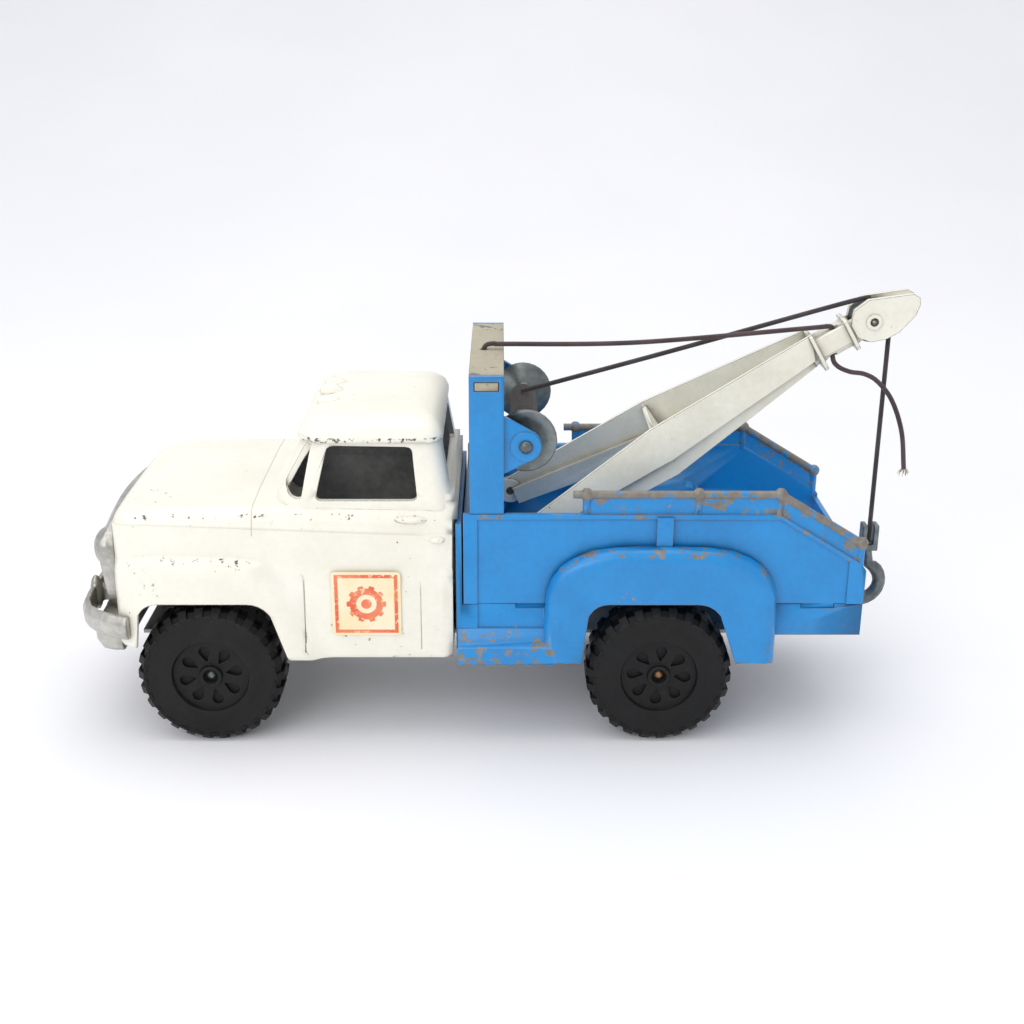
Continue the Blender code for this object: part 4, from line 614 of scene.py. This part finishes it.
def makeFray(end, s):
    # the tail's loose end, its strands spread like a small brush
    strands = []
    for i in range(s["strands"]):
        turn = 2 * math.pi * i / s["strands"] + 0.4 * math.sin(i * 2.3)
        spread = s["spread"] * (0.35 + 0.65 * abs(math.sin(i * 1.7)))
        reach = s["reach"] * (0.7 + 0.3 * math.cos(i * 3.1))
        across = Vector((math.cos(turn), math.sin(turn), 0))
        points = [end + Vector((0, 0, s["overlap"])) + across * 0.0003, end + across * spread * 0.45,
                  end + across * spread + Vector((0, 0, -reach * 0.6)),
                  end + across * spread * 1.05 + Vector((0, 0, -reach))]
        route = smoothRoute(points, 0.0004)
        strands.append(tube("frayStrand%02d" % i, route, s["radius"], 5, lambda t: 1 - 0.5 * t))
    cleanStart()
    for strand in strands:
        strand.select_set(True)
    bpy.context.view_layer.objects.active = strands[0]
    bpy.ops.object.join()
    fray = strands[0]
    fray.name = "frayedCordEnd"
    return fray


fray = makeFray(tailRoute[-1], {"strands": 22, "spread": 0.0022, "reach": 0.0026, "overlap": 0.0016,
                                "radius": 0.00022})


def threadMaterial():
    material, tree, shader = newMaterial("fluffedThread")
    tone = mixColor(tree, ramp(tree, noiseOf(tree, 700.0, 3.0), 0.35, 0.65),
                    (0.30, 0.23, 0.17), (0.62, 0.54, 0.42))
    tree.links.new(tone, shader.inputs["Base Color"])
    shader.inputs["Roughness"].default_value = 0.9
    shader.inputs["Sheen Weight"].default_value = 0.3
    bumpInto(tree, shader, noiseOf(tree, 2500.0, 3.0), 0.5, 0.0001)
    return material


dress(fray, threadMaterial())


def makeWinding(s):
    # one layer of turns laid side by side on the drum
    low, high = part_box("winch_cord_coil")
    half = (high[1] - low[1]) / 2 - s["cord"]
    turns = int(half * 2 / (s["cord"] * 2.06))
    points = []
    perTurn = 14
    for i in range(turns * perTurn + 1):
        share = i / (turns * perTurn)
        turn = 2 * math.pi * i / perTurn
        points.append(Vector((spool.x + s["pitchRadius"] * math.cos(turn), -half + 2 * half * share,
                              spool.z + s["pitchRadius"] * math.sin(turn))))
    return tube("cordOnDrum", points, s["cord"], 8)


winding = makeWinding({"cord": 0.00093, "pitchRadius": coilBase + 0.00097})
dress(winding, hoistBraid)
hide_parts("winch_cord_coil")
print("cords laid")


hook = softCopy("hook", "towHook", 0.00032, 6)
dress(hook, darkMetal)


wheelSettings = {
    "radius": 0.0285,
    "width": 0.0184,
    "segments": 104,
    "perLug": 4,
    "grooveDepth": 0.0014,
    "axleHole": 0.0017,
}


def selectFaces(piece, test):
    # from object mode: marks only the faces that pass the test, and goes back to edit mode
    bpy.ops.object.mode_set(mode="EDIT")
    bpy.ops.mesh.select_mode(type="FACE")
    bpy.ops.mesh.select_all(action="DESELECT")
    bpy.ops.object.mode_set(mode="OBJECT")
    for polygon in piece.data.polygons:
        polygon.select = test(polygon)
    bpy.ops.object.mode_set(mode="EDIT")


def makeTeardrops(s):
    # teardrop sinkings with their points towards the middle, as one cutting shape
    drops = []
    for i in range(s["count"]):
        cleanStart()
        bpy.ops.mesh.primitive_cylinder_add(vertices=28, radius=s["round"], depth=s["deep"] * 2,
                                            location=(0, 0, 0), rotation=(math.pi / 2, 0, 0))
        drop = bpy.context.active_object
        settle(drop)
        for vertex in drop.data.vertices:
            if vertex.co.x < 0:
                pull = (-vertex.co.x / s["round"]) ** 2.2
                vertex.co.x -= pull * s["tail"]
                vertex.co.z *= 1 - 0.55 * pull
        drop.data.transform(Matrix.Translation((s["place"], s["face"], 0)))
        drop.data.transform(Matrix.Rotation(2 * math.pi * (i + 0.5) / s["count"], 4, "Y"))
        drops.append(drop)
    cleanStart()
    for drop in drops:
        drop.select_set(True)
    bpy.context.view_layer.objects.active = drops[0]
    bpy.ops.object.join()
    return drops[0]


def makeWheel(s):
    cleanStart()
    bpy.ops.mesh.primitive_cylinder_add(vertices=s["segments"], radius=s["radius"], depth=s["width"],
                                        rotation=(math.pi / 2, 0, 0))
    wheel = bpy.context.active_object
    wheel.name = "treadedWheel"
    settle(wheel)
    # shoulders, side walls and the sunk hub, ring by ring from the tread inwards; the outer face is at -Y
    outerRings = ((0.0026, 0.0), (0.0012, -0.00025), (0.0052, 0.0), (0.0008, 0.00035), (0.0036, -0.0001),
                  (0.0006, -0.0016), (0.0098, 0.0), (0.0004, 0.0014), (0.0013, 0.0), (0.0004, -0.0012))
    innerRings = ((0.0026, 0.0), (0.0010, -0.0003), (0.0090, 0.0), (0.0010, -0.0015))
    for side, rings in ((-1, outerRings), (1, innerRings)):
        selectFaces(wheel, lambda p: p.normal.y * side > 0.9 and len(p.vertices) > 8)
        for thickness, depth in rings:
            bpy.ops.mesh.inset(thickness=thickness, depth=depth)
        bpy.ops.object.mode_set(mode="OBJECT")
    # the shoulders slope back from the side walls
    bpy.ops.object.mode_set(mode="EDIT")
    bpy.ops.mesh.select_mode(type="VERT")
    bpy.ops.mesh.select_all(action="DESELECT")
    bpy.ops.object.mode_set(mode="OBJECT")
    for vertex in wheel.data.vertices:
        vertex.select = math.hypot(vertex.co.x, vertex.co.z) > s["radius"] - 0.0002
    bpy.ops.object.mode_set(mode="EDIT")
    bpy.ops.transform.resize(value=(1, 0.70, 1), center_override=(0, 0, 0))
    # a rib round the middle of the tread
    for place in (-0.0012, 0.0012):
        bpy.ops.mesh.select_all(action="SELECT")
        bpy.ops.mesh.bisect(plane_co=(0, place, 0), plane_no=(0, 1, 0))
    bpy.ops.object.mode_set(mode="OBJECT")

    def isGroove(polygon):
        centre = polygon.center
        out = math.hypot(centre.x, centre.z)
        if out < s["radius"] - 0.0022 or abs(centre.y) < 0.0012:
            return False
        # the two rows of lugs stand half a lug apart
        shift = s["perLug"] // 2 if centre.y > 0 else 0
        place = math.atan2(centre.z, centre.x) / (2 * math.pi) * s["segments"]
        return int(place + s["segments"] * 2 + shift) % s["perLug"] < s["perLug"] // 2

    selectFaces(wheel, isGroove)
    shrink = (s["radius"] - s["grooveDepth"]) / s["radius"]
    bpy.ops.mesh.extrude_region_move(TRANSFORM_OT_translate={"value": (0, 0, 0)})
    bpy.ops.transform.resize(value=(shrink, 1, shrink), center_override=(0, 0, 0))
    bpy.ops.object.mode_set(mode="OBJECT")
    drops = makeTeardrops({"count": 8, "round": 0.0022, "deep": 0.0016, "tail": 0.0022, "place": 0.0104,
                           "face": -(s["width"] / 2 - 0.0016)})
    cleanStart()
    bpy.ops.mesh.primitive_cylinder_add(vertices=32, radius=0.0025, depth=0.005,
                                        location=(0, -s["width"] / 2, 0), rotation=(math.pi / 2, 0, 0))
    hole = bpy.context.active_object
    cleanStart()
    bpy.ops.mesh.primitive_cylinder_add(vertices=32, radius=s["axleHole"], depth=0.04,
                                        rotation=(math.pi / 2, 0, 0))
    bore = bpy.context.active_object
    for tool in (drops, hole, bore):
        sink = wheel.modifiers.new("sink", "BOOLEAN")
        sink.operation = "DIFFERENCE"
        sink.object = tool
    applyModifiers(wheel)
    for tool in (drops, hole, bore):
        bpy.data.objects.remove(tool)
    recalculate(wheel)
    smoothAt(wheel, 30)
    return wheel


wheelPattern = makeWheel(wheelSettings)
for end, spin in (("front", 11.0), ("rear", 27.0)):
    for side in ("left", "right"):
        node = "wheel_%s_%s" % (end, side)
        mesh = wheelPattern.data.copy()
        wheel = bpy.data.objects.new("tyre_%s_%s" % (end, side), mesh)
        scene.collection.objects.link(wheel)
        mesh.transform(Matrix.Rotation(math.radians(spin), 4, "Y"))
        if side == "right":
            mesh.transform(Matrix.Rotation(math.pi, 4, "Z"))
        mesh.transform(Matrix.Translation(centreOf(node)))
        dress(wheel, blackRubber)
        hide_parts(node)
        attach(wheel, node)
bpy.data.objects.remove(wheelPattern)
print("wheels made")


railSettings = {
    "ledge": 0.0937,
    "slopeStart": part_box("bed")[0][0] + 0.1203,
    "slopeEnd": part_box("bed")[0][0] + 0.1527,
    "drop": 0.0198,
}


def paintWorn(piece, rule):
    layer = piece.data.attributes.new("worn", "FLOAT", "FACE")
    for polygon in piece.data.polygons:
        layer.data[polygon.index].value = rule(polygon.center, polygon.normal)


def bedWear(centre, normal):
    # most on the rail, less on the ledge and the edge below it
    s = railSettings
    fall = min(max((centre.x - s["slopeStart"]) / (s["slopeEnd"] - s["slopeStart"]), 0), 1.1) * s["drop"]
    above = centre.z + fall - s["ledge"]
    if above > 0.0052:
        return 1.0
    if above > 0.0008:
        return 0.45
    if above > -0.0022 and abs(centre.y) > 0.0435:
        return 0.42
    return 0.0


skirtSettings = {"side": 0.0505, "top": 0.0410}


def bodyWear(centre, normal):
    # the lower edge of the fenders and running boards
    if abs(centre.y) > skirtSettings["side"] and centre.z < skirtSettings["top"]:
        return 0.5
    return 0.0


cabSettings = {
    "dripLevel": 0.1216,
    "dripSide": 0.0385,
    "dripBack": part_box("cab_body")[1][0] - 0.008,
    "archLow": 0.052,
    "archHigh": 0.0622,
    "archSide": 0.0485,
}


def cabWear(centre, normal):
    # the drip edge round the roof and the lips of the wheel arches
    s = cabSettings
    outside = abs(centre.y) > s["dripSide"] or centre.x > s["dripBack"]
    if abs(centre.z - s["dripLevel"]) < 0.0011 and outside:
        return 0.5
    if abs(normal.z) > 0.7 and s["archLow"] < centre.z < s["archHigh"] and abs(centre.y) > s["archSide"]:
        return 0.6
    return 0.0


bed = castingCopy("bed", "railedBed")
paintWorn(bed, bedWear)
dress(bed, blue)
rearBody = castingCopy("rear_body", "fenderedRearBody")
paintWorn(rearBody, bodyWear)
dress(rearBody, blue)
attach(bed, "truck")
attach(rearBody, "truck")
for side in ("left", "right"):
    leg = castingCopy("mast_leg_" + side, "mastLeg_" + side)
    dress(leg, blue)
    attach(leg, "truck")

cab = castingCopy("cab_body", "cabCasting", 30)
paintWorn(cab, cabWear)
dress(cab, ivory)


def bareInside():
    # unpainted zinc, as on the inside of a casting
    return bareMetal("bareInsideMetal", {
        "dark": (0.17, 0.175, 0.165), "light": (0.34, 0.345, 0.33), "dirtAndShade": (0.07, 0.07, 0.07),
        "roughness": 0.5, "metallic": 0.15, "grimeAndShade": 0.35, "grainScale": 300.0, "bump": 0.4})


insideMetal = bareInside()
cab.data.materials.append(insideMetal)
low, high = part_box("cab_body")
for polygon in cab.data.polygons:
    centre = polygon.center
    axis = Vector((min(max(centre.x, low[0] + 0.035), high[0] - 0.03), 0, 0.080))
    behindNose = low[0] + 0.0024 < centre.x < high[0] - 0.0038
    within = behindNose and abs(centre.y) < 0.0470 and centre.z < 0.1283
    if within and polygon.normal.dot(axis - centre) > 0.25 * (axis - centre).length:
        polygon.material_index = 1
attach(cab, "truck")

for node, name, grain in (("grille", "grilleCasting", 0.00055), ("front_bumper", "bumperBar", 0.0005),
                          ("front_valance", "valancePanel", 0.0005)):
    piece = softCopy(node, name, grain, 3)
    dress(piece, brightMetal)
    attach(piece, "truck")
boom = castingCopy("boom", "towBoom", 24)
dress(boom, agedIvory)
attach(boom, "boom")
spoolPiece = castingCopy("winch_spool", "cordSpool", 40)
dress(spoolPiece, darkMetal)
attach(spoolPiece, "winch")
for node, name, material, slotName, body in (
        ("sheave", "boomSheave", darkMetal, "dark_metal", "sheave"),
        ("winch_axle", "spoolAxle", darkMetal, "pin_metal", "truck"),
        ("sheave_pin", "sheavePin", brightMetal, "pin_metal", "boom"),
        ("axle_front", "frontAxle", darkMetal, "pin_metal", "truck"),
        ("axle_rear", "rearAxle", pinMetal, "pin_metal", "truck"),
        ("mast_beam", "mastBeam", tan, "tan_paint", "truck")):
    piece = castingCopy(node, name, 40)
    dress(piece, material)
    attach(piece, body)
for node in ("base_plate", "rivet_cab_front", "rivet_cab_rear", "rivet_bed_front", "rivet_bed_rear"):
    nodes[node].material_slots[0].material = plateMetal
for node in ("boom_pivot_pin_left", "boom_pivot_pin_right"):
    nodes[node].material_slots[0].material = pinMetal
print("castings finished")


def labelMaterial(s):
    # aged paper with a printed border and a plain cog in the middle
    material, tree, shader = newMaterial("agedPaperLabel")
    coords = tree.nodes.new("ShaderNodeTexCoord")
    shift = tree.nodes.new("ShaderNodeMapping")
    shift.inputs["Location"].default_value = (-s["middle"][0], 0, -s["middle"][1])
    tree.links.new(coords.outputs["Object"], shift.inputs["Vector"])
    split = tree.nodes.new("ShaderNodeSeparateXYZ")
    tree.links.new(shift.outputs["Vector"], split.inputs["Vector"])
    across = mathNode(tree, "ABSOLUTE", split.outputs["X"])
    upward = mathNode(tree, "ABSOLUTE", split.outputs["Z"])
    edge = mathNode(tree, "MAXIMUM", across, upward)
    border = mathNode(tree, "MULTIPLY", ramp(tree, edge, s["half"] - 0.0026, s["half"] - 0.0023),
                   ramp(tree, edge, s["half"] - 0.0009, s["half"] - 0.0012))
    away = mathNode(tree, "SQRT", mathNode(tree, "ADD", mathNode(tree, "MULTIPLY", across, across),
                                     mathNode(tree, "MULTIPLY", upward, upward)))
    bearing = mathNode(tree, "ARCTAN2", split.outputs["Z"], split.outputs["X"])
    wave = mathNode(tree, "COSINE", mathNode(tree, "MULTIPLY", bearing, 10.0))
    teeth = ramp(tree, wave, -0.25, 0.25, 0.0, 0.0011)
    rim = mathNode(tree, "SUBTRACT", away, teeth)
    cog = mathNode(tree, "MULTIPLY", ramp(tree, rim, 0.0066, 0.0064), ramp(tree, away, 0.0038, 0.0040))
    hub = ramp(tree, away, 0.0021, 0.0019)
    printed = mathNode(tree, "MAXIMUM", mathNode(tree, "MAXIMUM", cog, hub), border, clamp=True)
    rubbed = ramp(tree, noiseOf(tree, 520.0, 5.0, 0.7), 0.34, 0.46)
    printed = mathNode(tree, "MULTIPLY", printed, rubbed)
    paper = mixColor(tree, ramp(tree, noiseOf(tree, 60.0, 4.0), 0.35, 0.65), s["paper"], s["paperWorn"])
    faded = mixColor(tree, ramp(tree, noiseOf(tree, 90.0, 3.0), 0.3, 0.7), s["ink"], s["inkFaded"])
    tone = mixColor(tree, printed, paper, faded)
    stain = ramp(tree, noiseOf(tree, 240.0, 5.0, 0.75), 0.64, 0.72)
    tone = mixColor(tree, mathNode(tree, "MULTIPLY", stain, 0.6), tone, (0.36, 0.22, 0.10))
    tree.links.new(tone, shader.inputs["Base Color"])
    tree.links.new(ramp(tree, noiseOf(tree, 200.0, 3.0), 0.3, 0.7, 0.45, 0.7), shader.inputs["Roughness"])
    bumpInto(tree, shader, noiseOf(tree, 800.0, 4.0), 0.25, 0.0001)
    return material


labelCentre = centreOf("door_label_left")
labelPaper = labelMaterial({
    "middle": (labelCentre.x, labelCentre.z), "half": 0.0132, "paper": (0.93, 0.76, 0.44),
    "paperWorn": (0.95, 0.84, 0.60), "ink": (0.80, 0.12, 0.05), "inkFaded": (0.86, 0.25, 0.12)})
for node in ("door_label_left", "door_label_right"):
    nodes[node].material_slots[0].material = labelPaper
print("labels printed")


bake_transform(hoistSpan)
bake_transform(stayCord)
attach(stayTail, "boom")
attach(fray, "boom")
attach(winding, "winch")
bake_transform(hoistFall)
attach(hook, "hook")


def makeFloor(s):
    cleanStart()
    bpy.ops.mesh.primitive_plane_add(size=s["size"], location=(0, s["back"] - s["size"] / 2, 0))
    floor = bpy.context.active_object
    floor.name = "paleFloor"
    settle(floor)
    back = [edge.index for edge in floor.data.edges
            if all(floor.data.vertices[i].co.y > s["back"] - 0.01 for i in edge.vertices)]
    bpy.ops.object.mode_set(mode="EDIT")
    bpy.ops.mesh.select_mode(type="EDGE")
    bpy.ops.mesh.select_all(action="DESELECT")
    bpy.ops.object.mode_set(mode="OBJECT")
    for index in back:
        floor.data.edges[index].select = True
    bpy.ops.object.mode_set(mode="EDIT")
    bpy.ops.mesh.extrude_region_move(TRANSFORM_OT_translate={"value": (0, 0, s["size"] / 2)})
    bpy.ops.object.mode_set(mode="OBJECT")
    for edge in floor.data.edges:
        edge.select = edge.index in back
    bpy.ops.object.mode_set(mode="EDIT")
    bpy.ops.mesh.bevel(offset=s["sweep"], segments=24, affect="EDGES")
    bpy.ops.object.mode_set(mode="OBJECT")
    bpy.ops.object.shade_smooth()
    material, tree, shader = newMaterial("palePaper")
    tone = mixColor(tree, ramp(tree, noiseOf(tree, 3.0, 3.0), 0.3, 0.7), s["color"], s["shade"])
    tree.links.new(tone, shader.inputs["Base Color"])
    shader.inputs["Roughness"].default_value = 0.8
    floor.data.materials.append(material)


makeFloor({"size": 8, "back": 2.2, "sweep": 1.8, "color": (0.93, 0.93, 0.945), "shade": (0.90, 0.90, 0.92)})


def makeLight(name, s):
    data = bpy.data.lights.new(name, "AREA")
    data.shape = "RECTANGLE"
    data.size, data.size_y = s["size"]
    data.energy = s["power"]
    data.color = s["color"]
    lamp = bpy.data.objects.new(name, data)
    scene.collection.objects.link(lamp)
    aim = (Vector(s["aim"]) - Vector(s["place"])).to_track_quat("-Z", "Y")
    lamp.matrix_world = Matrix.Translation(s["place"]) @ aim.to_matrix().to_4x4()


makeLight("topSoftbox", {"size": (1.6, 1.2), "power": 8.0, "color": (1, 0.99, 0.97),
                         "place": (-0.1, 0.1, 1.3), "aim": (0, 0, 0.05)})
makeLight("frontSoftbox", {"size": (1.2, 0.8), "power": 7.0, "color": (1, 1, 1), "place": (-0.7, -1.1, 0.9),
                           "aim": (0, 0, 0.08)})
world = bpy.data.worlds.new("paleRoom") if scene.world is None else scene.world
scene.world = world
world.use_nodes = True
world.node_tree.nodes["Background"].inputs["Color"].default_value = (0.95, 0.96, 1.0, 1)
world.node_tree.nodes["Background"].inputs["Strength"].default_value = 0.74
scene.view_settings.view_transform = "Standard"
